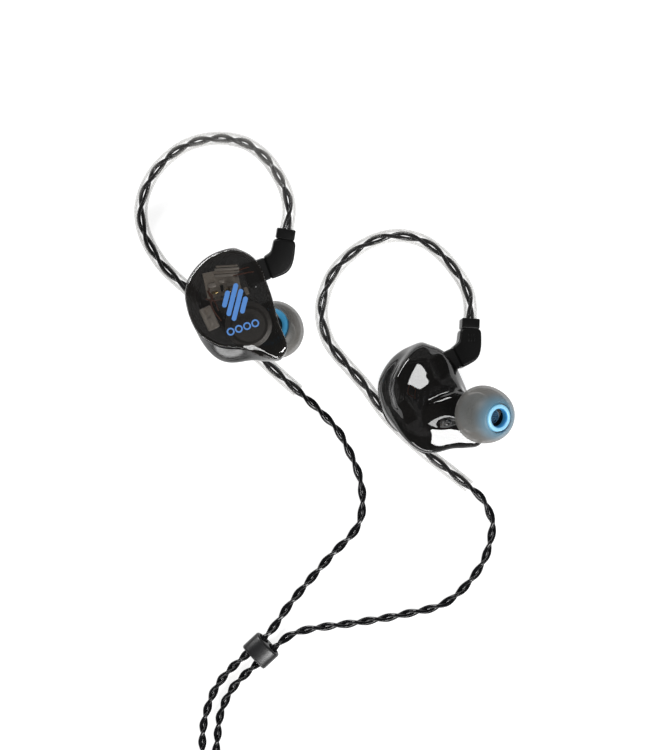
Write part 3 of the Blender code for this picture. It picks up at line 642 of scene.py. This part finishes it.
def make_side_cable(name):
    path = smooth_path(side_route(name), STRAND_STEP)
    sleeve_end = SLEEVE_LENGTH[name]

    def pitch_at(gone):
        if gone < sleeve_end:
            return TWIST["hook"]
        return TWIST["upper"] if gone < SLIDER_AT[name] else TWIST["lower"]

    def spread_at(i):
        inside = min(i * STRAND_STEP - HOOK_EASE, sleeve_end - i * STRAND_STEP) / HOOK_EASE
        return PAIR_SPREAD + (HOOK_SPREAD - PAIR_SPREAD) * max(0.0, min(1.0, inside))

    shape = strands(path, 2, spread_at, PAIR_STRAND_R, pitch_at, PAIR_PHASE)
    return piece(f"{name}_cable_strands", shape, "cable", "strand",
                 [f"{name}_cable"]), path


def make_hook(name, path):
    """The clear tube over the cable: a wall with an inside, open at both ends."""
    frames = path_frames(path[:round(SLEEVE_LENGTH[name] / STRAND_STEP):2])
    sides, rows = 20, len(frames)
    outer, inner = (tube(frames, radius, sides)[0] for radius in (SLEEVE_R, SLEEVE_R - SLEEVE_WALL))
    points = outer + [inner[r * sides + j] for r in reversed(range(rows)) for j in range(sides)]
    return piece(f"{name}_ear_hook_tube", (points, ring_faces(2 * rows, sides, wrap=True)), "cable",
                 "clear_tube", [f"{name}_ear_hook"])


SLIDER_RIM = 0.5                # rounding at the slider's ends
SLIDER_FOOT = 1.0               # how far its underside reaches out at the end nearer the earpieces
SLIDER_SQUARE = 0.92            # its section is a circle's at 1, and squarer below
SLIDER_COLUMNS = 72
SLIDER_ROUND_STEPS = 8


def squared(value):
    return math.copysign(abs(value) ** SLIDER_SQUARE, value)


def make_slider():
    """A barrel of flattened section, one end slanted, with a channel for each cable."""
    place = Matrix.Translation(SLIDER_CENTRE) @ Matrix.Rotation(SLIDER_ANGLE, 4, "Z")
    sections = []
    for i in range(SLIDER_ROUND_STEPS, -1, -1):
        a = math.pi / 2 * i / SLIDER_ROUND_STEPS
        sections.append((-SLIDER_LENGTH / 2 + SLIDER_RIM * (1 - math.sin(a)), SLIDER_RIM * (1 - math.cos(a))))
    sections += [(-x, shrink) for x, shrink in reversed(sections)]
    points = []
    for x, shrink in sections:
        for a in angles(SLIDER_COLUMNS):
            y = squared(math.cos(a)) * (SLIDER_WIDTH / 2 - shrink)
            z = squared(math.sin(a)) * (SLIDER_THICK / 2 - shrink)
            foot = SLIDER_FOOT * (0.5 - z / SLIDER_THICK) if x < 0 else 0.0
            points.append(place @ Vector((x - foot, y, z)))
    block = piece("chin_slider_block", (points, capped(len(sections), SLIDER_COLUMNS)), "chin_slider",
                  "slider", ["chin_slider"])
    for offset in (-SLIDER_BORE_OFFSET, SLIDER_BORE_OFFSET):
        shift = place @ Matrix.Translation((0, offset, 0)) @ Matrix.Rotation(math.pi / 2, 4, "Y")
        shift.translation *= MM
        cutter = bpy.data.meshes.new("slider_channel")
        form = bmesh.new()
        bmesh.ops.create_cone(form, cap_ends=True, segments=32, radius1=SLIDER_BORE_R * MM,
                              radius2=SLIDER_BORE_R * MM, depth=3 * SLIDER_LENGTH * MM)
        form.to_mesh(cutter)
        form.free()
        tool = linked("slider_channel", cutter)
        tool.matrix_world = shift
        cut_with(block, tool)
    return block


def cut_with(obj, tool):
    """Cuts tool out of obj for good, and removes it."""
    made = obj.modifiers.new("cut", "BOOLEAN")
    made.operation, made.solver, made.object = "DIFFERENCE", "EXACT", tool
    bpy.context.view_layer.update()
    graph = bpy.context.evaluated_depsgraph_get()
    mesh = bpy.data.meshes.new_from_object(obj.evaluated_get(graph))
    obj.modifiers.clear()
    obj.data = mesh
    mesh.shade_smooth()
    mesh.set_sharp_from_angle(angle=math.radians(35))
    bpy.data.objects.remove(tool)


def make_split():
    outline = [(y, x) for x, y in rounded_outline(SPLIT_OUTLINE, 0.8)]
    return piece("y_split_body", rounded_prism(outline, SPLIT_THICK, 0.7, 5, split_frame()), "cable",
                 "matt", ["y_split"])


def make_main_cable():
    path = smooth_path(main_route(), STRAND_STEP)
    shape = strands(path, 4, lambda i: MAIN_SPREAD, MAIN_STRAND_R, lambda gone: MAIN_TWIST)
    return piece("main_cable_strands", shape, "cable", "strand",
                 ["main_cable", "cable_coil"]), path


TIE_ANGLE = math.radians(-40.0)
TIE_FROM_COIL_CENTRE = 16.0
TIE_WIDTH = 5.0
TIE_INSIDE = (11.5, 10.05)
TIE_ROUNDING = 2.6
TIE_HEIGHT = 5.425              # of its middle
# The strap's section: how far along its width (-1 to 1), and how far out from its inside
TIE_SECTION = ((-1, 0.26), (-0.92, 0.38), (0.92, 0.38), (1, 0.26),
               (1, 0.1), (0.92, -0.02), (-0.92, -0.02), (-1, 0.1))


def make_tie():
    """A soft strap round the coil."""
    middle = (Matrix.Translation(COIL_CENTRE + Vector((0, 0, TIE_HEIGHT)))
              @ Matrix.Rotation(TIE_ANGLE, 4, "Z") @ Matrix.Translation((TIE_FROM_COIL_CENTRE, 0, 0)))
    loop = smooth_loop(rounded_outline(box_outline(*TIE_INSIDE), TIE_ROUNDING, 8), 64)
    points = []
    for share, out in TIE_SECTION:
        for p in loop:
            scale = 1 + out / max(p.length, 1)
            points.append(middle @ Vector((p.x * scale, share * TIE_WIDTH / 2, p.y * scale)))
    faces = ring_faces(len(TIE_SECTION), len(loop), wrap=True)
    return piece("cable_tie_strap", (points, faces), "cable", "matt", ["cable_tie"])


# Profiles (radius, height) of the plug's pieces, each from its far end back to its near one
RELIEF = [(0.01, 8.6), (2.9, 8.6), (3.0, 8.4), (2.95, 6.9), (2.8, 6.6), (2.5, 6.5), (2.5, 6.0),
          (2.6, 5.9), (2.4, 4.3), (2.1, 4.2), (2.1, 3.7), (2.2, 3.6), (2.0, 2.0), (1.7, 1.9), (1.7, 1.4),
          (1.75, 1.3), (1.6, 0.1), (1.5, 0.0), (0.01, 0.0)]
BARREL = [(0.01, 15.6), (2.3, 15.6), (2.75, 15.5), (2.95, 15.3), (3.1, 14.8), (3.1, 13.95),
          (3.6, 13.6), (3.7, 13.4), (3.7, 11.9), (3.6, 11.85), (3.6, 11.5), (3.7, 11.45), (3.7, 1.0),
          (3.62, 0.5), (3.4, 0.1), (3.2, 0.0), (0.01, 0.0)]
SLEEVE = [(0.01, 8.0), (1.7, 8.0), (1.75, 7.9), (1.75, 0.0), (0.01, 0.0)]
INSULATOR = [(0.01, 0.6), (1.7, 0.6), (1.7, 0.0), (0.01, 0.0)]
RING = [(0.01, 1.5), (1.75, 1.5), (1.75, 0.0), (0.01, 0.0)]
TIP = [(0.01, 3.45), (0.3, 3.42), (0.6, 3.25), (1.1, 2.5), (1.62, 1.7), (1.7, 1.45), (1.65, 1.2),
       (1.25, 0.8), (1.2, 0.65), (1.3, 0.4), (1.6, 0.1), (1.6, 0.0), (0.01, 0.0)]
JACK_PARTS = (("strain_relief", "dark_rubber", "matt", RELIEF), ("barrel", "satin_black", "satin", BARREL),
              ("sleeve", "gold_contact", "gold", SLEEVE), ("insulator_1", "satin_black", "gloss", INSULATOR),
              ("ring", "gold_contact", "gold", RING), ("insulator_2", "satin_black", "gloss", INSULATOR),
              ("tip", "gold_contact", "gold", TIP))
JACK_GAP = 0.12                 # between one piece and the next


def make_jack():
    """A straight 3.5 mm plug along +x, from its strain relief to its tip."""
    turn = Matrix.Rotation(math.pi / 2, 4, "Y")
    start = JACK_START.copy()
    made = []
    for name, slot, look, profile in JACK_PARTS:
        shape = lathe(profile, 48, Matrix.Translation(start) @ turn)
        made.append(piece(f"jack_{name}_turned", shape, "cable", look, [f"jack_{name}"], sharp=30.0))
        start.x += profile[0][1] + JACK_GAP
    return made


# ---- the earpieces' frames

def side_matrix(side):
    """Where an earpiece's plan frame lies: turned in the table's plane, then leant over."""
    lean = Vector((*side["lean"], 0.0)).normalized()
    over = Matrix.Rotation(math.radians(side["tilt"]), 4, Vector((-lean.y, lean.x, 0.0)))
    turn = Matrix.Rotation(math.radians(side["turn"]), 4, "Z")
    return Matrix.Translation(Vector(side["centre"])) @ over @ turn


def seated(side):
    """The plan frame with its depth along z: a mirror where the faceplate is up."""
    return side_matrix(side) @ Matrix.Diagonal((1, 1, side["hand"], 1))


def on_side(side, point, direction=None):
    """An unmirrored frame at a point of the plan frame, its z along the direction."""
    flip = Matrix.Diagonal((1, 1, side["hand"], 1))
    place = side_matrix(side) @ Matrix.Translation(flip @ point)
    if direction is None:
        return place
    return place @ (flip @ direction).to_track_quat("Z", "Y").to_matrix().to_4x4()


# ---- the housing

HOUSING_STEPS = 144
HOUSING_ROWS = 56

# Folds of the ear side, as plan points they run through, width, and height (minus is a groove)
FOLDS = [
    ([(-5.9, -3.2), (-3.7, -0.4), (-1.3, 1.4), (1.4, 2.5), (4.6, 3.0)], 1.4, 0.2),
    ([(-5.2, -3.6), (-1.9, -0.5), (1.0, 0.4), (4.8, 1.0)], 1.15, -0.8),
    ([(-4.8, -4.4), (-2.4, -2.6), (0.4, -1.9), (3.4, -1.2), (5.6, -0.4)], 1.4, 0.15),
    ([(-0.4, 11.8), (-3.0, 9.6), (-5.2, 7.2), (-7.0, 4.6), (-7.9, 2.0), (-7.6, -1.0)], 1.1, 0.9),
    ([(-3.6, 11.4), (-6.4, 8.8), (-8.5, 5.8), (-9.4, 2.7), (-9.0, -0.8), (-7.6, -4.0), (-5.7, -6.8)],
     1.0, -0.8),
    ([(1.9, 9.6), (1.9, 6.5), (1.4, 3.6), (0.8, 2.0)], 1.3, -0.6),
]
FOLD_END = 0.07                 # beyond this share of its length, a fold keeps its height to its end
FOLD_FADES = (0.18, 0.2)        # shares of the way over which folds grow from the rim, and from the nozzle
BODY_POWER = 0.9                # how soon the rings shrink towards the nozzle
ROUND_FROM = 0.3                # from this share of the way, the rings become circles
INSIDE = Vector((0, 0, 4))      # a point inside the housing

# The nozzle: distance along its axis, and radius
NOZZLE_RINGS = ((NOZZLE_BASE + 0.5, NOZZLE_BASE_R - 0.2), (NOZZLE_BASE + 1.3, NOZZLE_R + 0.15),
                (NOZZLE_BASE + 2.8, NOZZLE_R), (NOZZLE_END - 0.3, NOZZLE_R),
                (NOZZLE_END - 0.05, NOZZLE_R - 0.06), (NOZZLE_END, NOZZLE_R - 0.25))


def body_ring(share, outline):
    """One ring of the housing between its rim (share 0) and the nozzle's base (share 1)."""
    angle = share * BODY_END_ANGLE
    scale = math.cos(angle) ** BODY_POWER
    last = math.cos(BODY_END_ANGLE) ** BODY_POWER
    shift = (1 - scale) / (1 - last)
    round_off = ease((share - ROUND_FROM) / (1 - ROUND_FROM))
    base = TIP_CENTRE + NOZZLE_AXIS * NOZZLE_BASE
    depth = RIM_DEPTH + (base.z - RIM_DEPTH) * math.sin(angle) / math.sin(BODY_END_ANGLE)
    centre = Vector((base.x * shift, base.y * shift, depth))
    lean = Vector((0, 0, 1)).lerp(NOZZLE_AXIS, round_off).normalized()
    turn = Vector((0, 0, 1)).rotation_difference(lean)
    ring = []
    for point in outline:
        flat = point.normalized() * NOZZLE_BASE_R * round_off + point * scale * (1 - round_off)
        ring.append(centre + turn @ (flat + point.normalized() * swell(point, share)).to_3d())
    return ring


def swell(point, share):
    """How far the housing stands out past the plain form, in the direction of an outline's point."""
    total = 0.0
    for facing, size, deep, narrow in SWELLS:
        toward = math.cos(math.atan2(point.y, point.x) - math.radians(facing))
        total += size * max(0.0, toward) ** narrow * math.sin(math.pi * min(1.0, share / deep))
    return total


def nozzle_ring(distance, radius, outline):
    centre = TIP_CENTRE + NOZZLE_AXIS * distance
    turn = Vector((0, 0, 1)).rotation_difference(NOZZLE_AXIS)
    return [centre + turn @ (p.normalized() * radius).to_3d() for p in outline]


def from_line(point, line):
    """Distance of a plan point from a polyline, and how far along it the nearest point is (0 to 1)."""
    best = (1e9, 0.0)
    for i, (a, b) in enumerate(zip(line, line[1:])):
        a, b = Vector(a), Vector(b)
        t = min(1.0, max(0.0, (point - a).dot(b - a) / (b - a).length_squared))
        best = min(best, ((point - a.lerp(b, t)).length, (i + t) / (len(line) - 1)))
    return best


def fold_height(point, share):
    """How far the folds lift the ear side at a plan point."""
    height = 0.0
    for line, width, lift in FOLDS:
        away, where = from_line(point.to_2d(), line)
        fade = math.sin(math.pi * min(1 - FOLD_END, max(FOLD_END, where))) ** 0.6
        height += lift * fade * math.exp(-(away / width) ** 2)
    return height * ease(share / FOLD_FADES[0]) * ease((1 - share) / FOLD_FADES[1])


def housing_rings():
    outline = [Vector(p) for p in smooth_loop(OUTLINE, HOUSING_STEPS)]
    rings = [body_ring(i / HOUSING_ROWS, outline) for i in range(HOUSING_ROWS + 1)]
    moved = []
    for i, ring in enumerate(rings):
        share = i / HOUSING_ROWS
        above, below = rings[max(i - 1, 0)], rings[min(i + 1, HOUSING_ROWS)]
        row = []
        for j, here in enumerate(ring):
            around = ring[(j + 1) % HOUSING_STEPS] - ring[j - 1]
            out = around.cross(above[j] - below[j]).normalized()
            if out.dot(here - INSIDE) < 0:
                out.negate()
            row.append(here + out * fold_height(here, share))
        moved.append(row)
    return moved + [nozzle_ring(distance, radius, outline) for distance, radius in NOZZLE_RINGS]


HOUSING = housing_rings()


def make_shell(name, side):
    to_world = seated(side)
    points = [to_world @ p for ring in HOUSING for p in ring]
    shell = piece(f"{name}_shell_body", (points, ring_faces(len(HOUSING), HOUSING_STEPS)),
                  f"{name}_earpiece", f"{name}_shell", [f"{name}_shell"],
                  inner="shell_inside")
    middle = to_world @ INSIDE * MM
    first = shell.data.polygons[0]
    if (first.center - middle).dot(first.normal) < 0:
        shell.data.flip_normals()
    wall = shell.modifiers.new("wall", "SOLIDIFY")
    wall.thickness = WALL * MM
    wall.offset = -1.0
    wall.material_offset = 1
    wall.material_offset_rim = 1
    return shell


# The faceplate's face is slightly domed and rolls off towards the edge
FACE_ROWS = 48
FACE_CROWDED = 1.6              # how much closer its rows lie towards the edge
FACE_DOME = 0.3
FACE_BULGE = 0.008              # how far its side stands out, as a share
BACK_SHARES = (0.985, 0.93, 0.8, 0.55, 0.28)    # the flat back's rings, as shares of the edge
EDGE_ROLL = (0.15, 0.03, 2.0)   # how far the edge drops, its width and its power
# Steeper rolls: the way each faces in degrees, how narrow its span is, then its drop, width and power
ROLLS = ((293.0, 20, 1.18, 0.24, 1.2),)
FACE_INSET = 0.985              # its edge, as a share of the housing's outline
FACE_EDGE = [Vector(p) * FACE_INSET for p in smooth_loop(OUTLINE, HOUSING_STEPS)]


def face_drop(share, facing):
    """How far the face lies under its middle, at that share of the way out to the edge."""
    drop, width, power = EDGE_ROLL
    for middle, narrow, *wide in ROLLS:
        near = max(0.0, math.cos(facing - math.radians(middle))) ** narrow
        drop, width, power = (a + (b - a) * near for a, b in zip((drop, width, power), wide))
    roll = max(0.0, (share - (1 - width)) / width)
    return FACE_DOME * share ** 2 + drop * roll ** power


def facing_of(point):
    return math.atan2(point.y, point.x)


def face_depth(point):
    """Depth of the face at a plan point."""
    return face_drop(point.length / outline_reach(point), facing_of(point)) - FACE_DOME


def outline_reach(point):
    """How far the outline lies from the middle, in the direction of point."""
    angle = facing_of(point)
    best = min(FACE_EDGE, key=lambda p: abs(math.remainder(facing_of(p) - angle, 2 * math.pi)))
    return best.length


def make_faceplate(name, side):
    to_world = seated(side)

    def top(p, share=1.0):
        return face_drop(share, facing_of(p)) - FACE_DOME

    def row(scale, depth_at):
        return [Vector((p.x * scale, p.y * scale, depth_at(p))) for p in FACE_EDGE]

    shares = (1 - (1 - i / FACE_ROWS) ** FACE_CROWDED for i in range(1, FACE_ROWS + 1))
    rows = [row(share, lambda p, share=share: top(p, share)) for share in shares]
    rows += [row(1 + FACE_BULGE * math.sin(math.pi * t),
                 lambda p, t=t: top(p) + (FACE_THICK - 0.1 - top(p)) * t) for t in (0.3, 0.65, 1.0)]
    rows += [row(scale, lambda p: FACE_THICK) for scale in BACK_SHARES]
    points = [to_world @ Vector((0, 0, -FACE_DOME)), to_world @ Vector((0, 0, FACE_THICK))]
    points += [to_world @ p for row in rows for p in row]
    n = HOUSING_STEPS
    faces = ring_faces(len(rows), n, first=2)
    last = 2 + (len(rows) - 1) * n
    faces += [(0, 2 + (j + 1) % n, 2 + j) for j in range(n)]
    faces += [(1, last + j, last + (j + 1) % n) for j in range(n)]
    return piece(f"{name}_faceplate_lens", (points, faces), f"{name}_earpiece", "face",
                 [f"{name}_faceplate"])


# ---- the printed mark: bars and rings

PRINT_THICK = 0.05
PRINT_SUNK = 0.01
MARK_CENTRE = Vector((-0.3, 1.1))
MARK_TURN = math.radians(-14.0)
BAR_HALF = 0.5
BARS = ((-1.95, -1.2, 1.4), (-0.65, -2.7, 3.3), (0.65, -3.4, 2.4), (1.95, -1.5, 1.1))
RINGS_START = Vector((-1.2, -5.1))
RINGS_STEP = Vector((1.7, 0.58))
RING_R = (0.5, 0.82)


def printed(name, side, loops):
    """Flat ink shapes on the faceplate: each loop is an outline, or an outer and an inner one."""
    to_world = seated(side)
    parts = []
    for outer, inner in loops:
        n = len(outer)
        if inner is None:
            middle = sum(outer, Vector((0, 0))) / n
            inner = [middle.lerp(p, 0.02) for p in outer]
        points = []
        for ring, lift in ((outer, 0.0), (outer, PRINT_THICK), (inner, PRINT_THICK), (inner, 0.0)):
            points += [to_world @ Vector((p.x, p.y, face_depth(p) - lift + PRINT_SUNK)) for p in ring]
        parts.append((points, ring_faces(4, n, wrap=True)))
    return piece(f"{name}_printed_mark", joined(parts), f"{name}_earpiece", "mark")


def bar_loop(across, low, high):
    turn = Matrix.Rotation(MARK_TURN, 2)
    loop = []
    for a in angles(24):
        y = high if math.sin(a) >= 0 else low
        loop.append(Vector((across + BAR_HALF * math.cos(a), y + BAR_HALF * math.sin(a))))
    dense = []
    for p, q in zip(loop, loop[1:] + loop[:1]):
        dense += [p.lerp(q, k / 4) for k in range(4)]
    return [MARK_CENTRE + turn @ p for p in dense]


def make_mark(name, side):
    loops = [(bar_loop(*bar), None) for bar in BARS]
    for i in range(4):
        middle = RINGS_START + RINGS_STEP * i
        ring = [Vector((math.cos(a), math.sin(a))) for a in angles(28)]
        loops.append(([middle + p * RING_R[1] for p in ring], [middle + p * RING_R[0] for p in ring]))
    return printed(name, side, loops)


# ---- tips, nozzle mesh, vent

def tip_frame(side):
    return on_side(side, TIP_CENTRE, NOZZLE_AXIS)


def smooth_profile(points, count):
    return [tuple(p) for p in smooth_loop(points, count)]


# Closed profiles (radius, distance along the nozzle's axis) of an ear tip's two pieces
CORE = [(2.35, TIP_FRONT), (2.65, TIP_FRONT - 0.03), (2.85, TIP_FRONT - 0.22), (2.95, TIP_FRONT - 0.6),
        (3.0, 5.2), (3.1, 4.4), (3.45, 2.4), (3.55, 0.2), (3.62, -1.2), (3.8, -1.85), (4.1, -2.3),
        (4.18, -2.6), (4.1, -2.85), (3.95, -2.95), (CORE_BORE_R + 0.1, -2.95), (CORE_BORE_R, -2.85),
        (CORE_BORE_R, NOZZLE_END + 0.3), (CORE_MOUTH_R, NOZZLE_END + 0.6), (CORE_MOUTH_R, TIP_FRONT - 0.45),
        (CORE_MOUTH_R + 0.08, TIP_FRONT - 0.18), (CORE_MOUTH_R + 0.22, TIP_FRONT - 0.04)]
DOME = smooth_profile(
    [(3.28, 6.33), (3.65, 6.2), (4.1, 5.85), (4.9, 4.95), (5.55, 3.62), (5.95, 2.1), (TIP_R, 0.4),
     (6.02, -1.0), (5.55, -2.3), (4.75, -3.2), (4.6, -3.3), (4.42, -3.15), (4.5, -2.9), (5.05, -2.1),
     (5.5, -0.8), (5.6, 0.6), (5.3, 2.1), (4.85, 3.4), (4.25, 4.3), (3.6, 4.75), (3.3, 5.0), (3.12, 5.6)], 88)


def make_tip(name, side):
    place = tip_frame(side)
    LOOKS[f"{name}_dome"] = make_dome_look(name, side)
    LOOKS[f"{name}_core"] = make_core_look(name, side)
    for part, profile, slot in (("core", CORE, "blue_silicone"), ("dome", DOME, "grey_silicone")):
        piece(f"{name}_tip_{part}_soft", lathe(profile, 96, place), f"{name}_ear_tip",
              f"{name}_{part}", [f"{name}_tip_{part}"], sharp=50.0)


MESH_PITCH = 0.46
MESH_CELL_R = MESH_PITCH / math.sqrt(3) * 1.01      # cells overlap a little
MESH_HOLE = 0.17
MESH_HALF = 0.15                # half its thickness
MESH_R = 1.62
MESH_RIM = 0.22
MESH_RIM_HALF = 0.2
MESH_MARGIN = 0.28              # from its edge to the outermost cells' middles
MESH_DEEP = 0.7                 # from the nozzle's end


def screen_cell(x, y, place):
    """A hexagon with a round hole in it, centred at x, y on the screen's plane."""
    points = []
    for z in (MESH_HALF, -MESH_HALF):
        for radius, flat in ((MESH_CELL_R, math.cos(math.radians(30))), (MESH_HOLE, 1.0)):
            for k in range(12):
                a = math.radians(30 + 30 * k)
                r = radius * (flat if k % 2 else 1.0)
                points.append(place @ Vector((x + r * math.cos(a), y + r * math.sin(a), z)))
    top_out, top_in, low_out, low_in = (range(k * 12, k * 12 + 12) for k in range(4))
    faces = []
    for a, b in ((top_out, top_in), (top_in, low_in), (low_in, low_out), (low_out, top_out)):
        faces += [(a[k], a[(k + 1) % 12], b[(k + 1) % 12], b[k]) for k in range(12)]
    return points, faces


def make_nozzle_mesh(name, side):
    """A punched screen with a plain rim, in the nozzle's mouth."""
    place = tip_frame(side) @ Matrix.Translation((0, 0, NOZZLE_END - MESH_DEEP))
    rim = [(MESH_R - MESH_RIM, MESH_RIM_HALF), (MESH_R, MESH_RIM_HALF), (MESH_R, -MESH_RIM_HALF),
           (MESH_R - MESH_RIM, -MESH_RIM_HALF)]
    parts = []
    for row in range(-4, 5):
        for column in range(-4, 5):
            x = (column + row * 0.5) * MESH_PITCH
            y = row * MESH_PITCH * math.sqrt(3) / 2
            if math.hypot(x, y) <= MESH_R - MESH_MARGIN:
                parts.append(screen_cell(x, y, place))
    parts.append(lathe(rim, 40, place))
    piece(f"{name}_nozzle_screen", joined(parts), f"{name}_earpiece", "mesh",
          [f"{name}_nozzle_mesh"])


def surface_place(x, y):
    """The point of the housing's ear side over plan point x, y, and the way it faces."""
    _, i, j = min((math.hypot(p.x - x, p.y - y), i, j)
                  for i, ring in enumerate(HOUSING[1:HOUSING_ROWS], 1) for j, p in enumerate(ring))
    here = HOUSING[i][j]
    around = HOUSING[i][(j + 1) % HOUSING_STEPS] - HOUSING[i][j - 1]
    facing = around.cross(HOUSING[i + 1][j] - HOUSING[i - 1][j]).normalized()
    if facing.z < 0:
        facing.negate()
    return here, facing


VENT = smooth_profile([(0.5, 0.3), (0.58, 0.4), (0.68, 0.43), (0.78, 0.38), (0.86, 0.2), (0.88, 0.0),
                       (0.4, 0.0), (0.42, 0.2)], 40)
VENT_PROUD = 0.05


def make_vent(name, side):
    here, facing = surface_place(*VENT_PLACE)
    place = on_side(side, here + facing * VENT_PROUD, facing)
    piece(f"{name}_vent_eyelet", lathe(VENT, 48, place), f"{name}_earpiece", "vent",
          [f"{name}_vent_ring"])


# ---- plugs and inner wiring

ELBOW_OUTLINE = [(-0.98, 2.25)] + PLUG_OUTLINE[1:-1] + [(0.67, -2.4)]
SEAM_CORNERS = (0, len(PLUG_OUTLINE) - 1)
COLLAR_DROP = 0.34              # the collar reaches down to the elbow
BAR_PLACES = ((2.75, 3.9), (3.35, 3.85), (3.95, 3.8))
BAR_SIZE = (0.28, 1.5)


def make_plug(name, side):
    place = on_side(side, SEAM)
    elbow = rounded_outline(ELBOW_OUTLINE, 1.3, 5, SEAM_CORNERS)
    collar = rounded_outline(box_outline(COLLAR_SIZE[0], COLLAR_SIZE[1] + COLLAR_DROP), 0.35, 4)
    turn = Matrix.Rotation(LEG_ANGLE, 4, "Z")
    collar_place = (place @ Matrix.Translation((*COLLAR_CENTRE, 0)) @ turn
                    @ Matrix.Translation((0, -COLLAR_DROP / 2, 0)))
    top = side["hand"] * PLUG_THICK / 2
    bars = [rounded_prism(box_outline(*BAR_SIZE), 0.2, 0.08, 2,
                          place @ Matrix.Translation((x, y, top)) @ turn) for x, y in BAR_PLACES]
    shapes = {
        "elbow": (rounded_prism(elbow, PLUG_THICK, 0.5, 6, place), [f"{name}_plug_housing"]),
        "collar_ring": (rounded_prism(collar, COLLAR_SIZE[2], 0.4, 5, collar_place), [f"{name}_plug_collar"]),
        "bars": (joined(bars), ()),
    }
    return [piece(f"{name}_plug_{part}", shape, "cable", "satin", replaced)
            for part, (shape, replaced) in shapes.items()]


# Small parts under the faceplate: centre (x, y, depth), size, turn in degrees, look
INNER_PARTS = [
    ((-2.0, 6.5, 2.4), (5.0, 0.5, 0.5), 4.0, "can"), ((-2.0, 7.15, 2.5), (5.4, 0.45, 0.5), 4.0, "board"),
    ((-1.9, 7.8, 2.5), (5.2, 0.5, 0.5), 4.0, "can"), ((-1.9, 8.4, 2.7), (4.6, 0.4, 0.5), 4.0, "board"),
    ((-5.0, 4.4, 2.3), (1.6, 0.9, 0.6), 12.0, "can"), ((-3.0, 5.2, 2.3), (1.1, 0.7, 0.5), 12.0, "can"),
    ((-1.2, 4.6, 2.3), (1.5, 0.6, 0.5), 12.0, "can"), ((-1.6, 3.3, 2.3), (0.9, 0.9, 0.4), 12.0, "gold"),
    ((-4.4, 2.9, 2.3), (1.3, 0.5, 0.4), 12.0, "gold"), ((-2.9, 3.8, 2.35), (0.6, 1.3, 0.4), 12.0, "gloss"),
    ((-5.9, -0.9, 2.6), (1.5, 1.3, 0.4), -65.0, "board"), ((-5.2, -3.2, 2.6), (1.7, 0.7, 0.4), -65.0, "can"),
    ((3.6, 4.4, 3.2), (1.4, 1.0, 0.6), 20.0, "gloss"), ((2.2, 3.2, 3.2), (0.8, 1.6, 0.6), 20.0, "board"),
]


def make_inner_parts(name, side):
    to_world = seated(side)
    for look in sorted({part[3] for part in INNER_PARTS}):
        shapes = []
        for centre, size, turn, wanted in INNER_PARTS:
            if wanted == look:
                spot = Matrix.Translation(centre) @ Matrix.Rotation(math.radians(turn), 4, "Z")
                shapes.append(rounded_prism(box_outline(*size[:2]), size[2], 0.08, 2, to_world @ spot))
        piece(f"{name}_inner_{look}_parts", joined(shapes), f"{name}_earpiece", look)


# Each wire: its points (x, y, depth) and radius
WIRES = [
    ([(-6.0, 3.2, 2.3), (-4.9, 2.1, 2.2), (-5.2, 0.6, 2.3), (-4.4, -1.2, 2.6), (-3.0, -3.0, 2.8)], 0.14),
    ([(-6.3, 1.6, 2.4), (-4.8, 1.2, 2.1), (-3.1, 1.4, 2.2), (-1.0, 1.2, 2.6)], 0.12),
    ([(-5.4, 4.4, 2.5), (-5.6, 2.6, 2.0), (-4.2, 0.6, 2.2), (-3.6, -0.9, 2.9)], 0.12),
    ([(5.2, 6.8, 3.4), (3.4, 7.2, 2.6), (1.2, 6.8, 2.2), (-0.6, 6.4, 2.2)], 0.14),
    ([(5.0, 7.6, 3.6), (3.0, 8.2, 2.8), (0.6, 7.6, 2.2)], 0.14),
]
# Wires just under the ear side: their plan points
LOOPS = [[(-5.0, 3.1), (-5.6, 2.2), (-5.5, 1.0), (-4.9, 0.0)],
         [(-4.5, 2.9), (-4.2, 1.9), (-4.1, 0.8), (-4.5, -0.2)]]
LOOP_R = 0.12
LOOP_UNDER = 0.4


def make_wires(name, side):
    to_world = seated(side)
    parts = []
    for route, radius in WIRES:
        path = smooth_path([to_world @ Vector(p) for p in route], 0.35)
        parts.append(tube(path_frames(path), radius, 8))
    piece(f"{name}_inner_wires", joined(parts), f"{name}_earpiece", "dull_copper")
    parts = []
    for line in LOOPS:
        spots = [surface_place(*p) for p in line]
        path = smooth_path([to_world @ (here - facing * LOOP_UNDER) for here, facing in spots], 0.3)
        parts.append(tube(path_frames(path), LOOP_R, 8))
    piece(f"{name}_copper_loops", joined(parts), f"{name}_earpiece", "copper")


CAD_LOOKS = {
    "socket": "gloss", "dynamic_driver": "dark_can", "armature_a": "can", "armature_b": "can",
    "armature_c": "dark_can", "crossover_board": "board", "sound_tube": "sound_tube",
    "plug_pin_1": "gold", "plug_pin_2": "gold"}


def dress_cad(name):
    for part, look in CAD_LOOKS.items():
        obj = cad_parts[f"{name}_{part}"]
        if not obj.material_slots:
            obj.data.materials.append(None)
        for slot in obj.material_slots:
            slot.link = "OBJECT"
            slot.material = LOOKS[look]


# ---- everything


def main():
    make_camera()
    make_floor()
    make_lights()
    slider = make_slider()
    split = make_split()
    tie = make_tie()
    for name, side in SIDES.items():
        cable, path = make_side_cable(name)
        on_it = [make_hook(name, path)] + make_plug(name, side)
        on_it += [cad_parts[f"{name}_plug_pin_{i}"] for i in (1, 2)]
        if name == "left":
            on_it += [slider, split]
        for make in (make_shell, make_faceplate, make_mark, make_tip, make_nozzle_mesh, make_vent,
                     make_wires, make_inner_parts):
            make(name, side)
        dress_cad(name)
    cable, path = make_main_cable()
    [tie] + make_jack()


main()
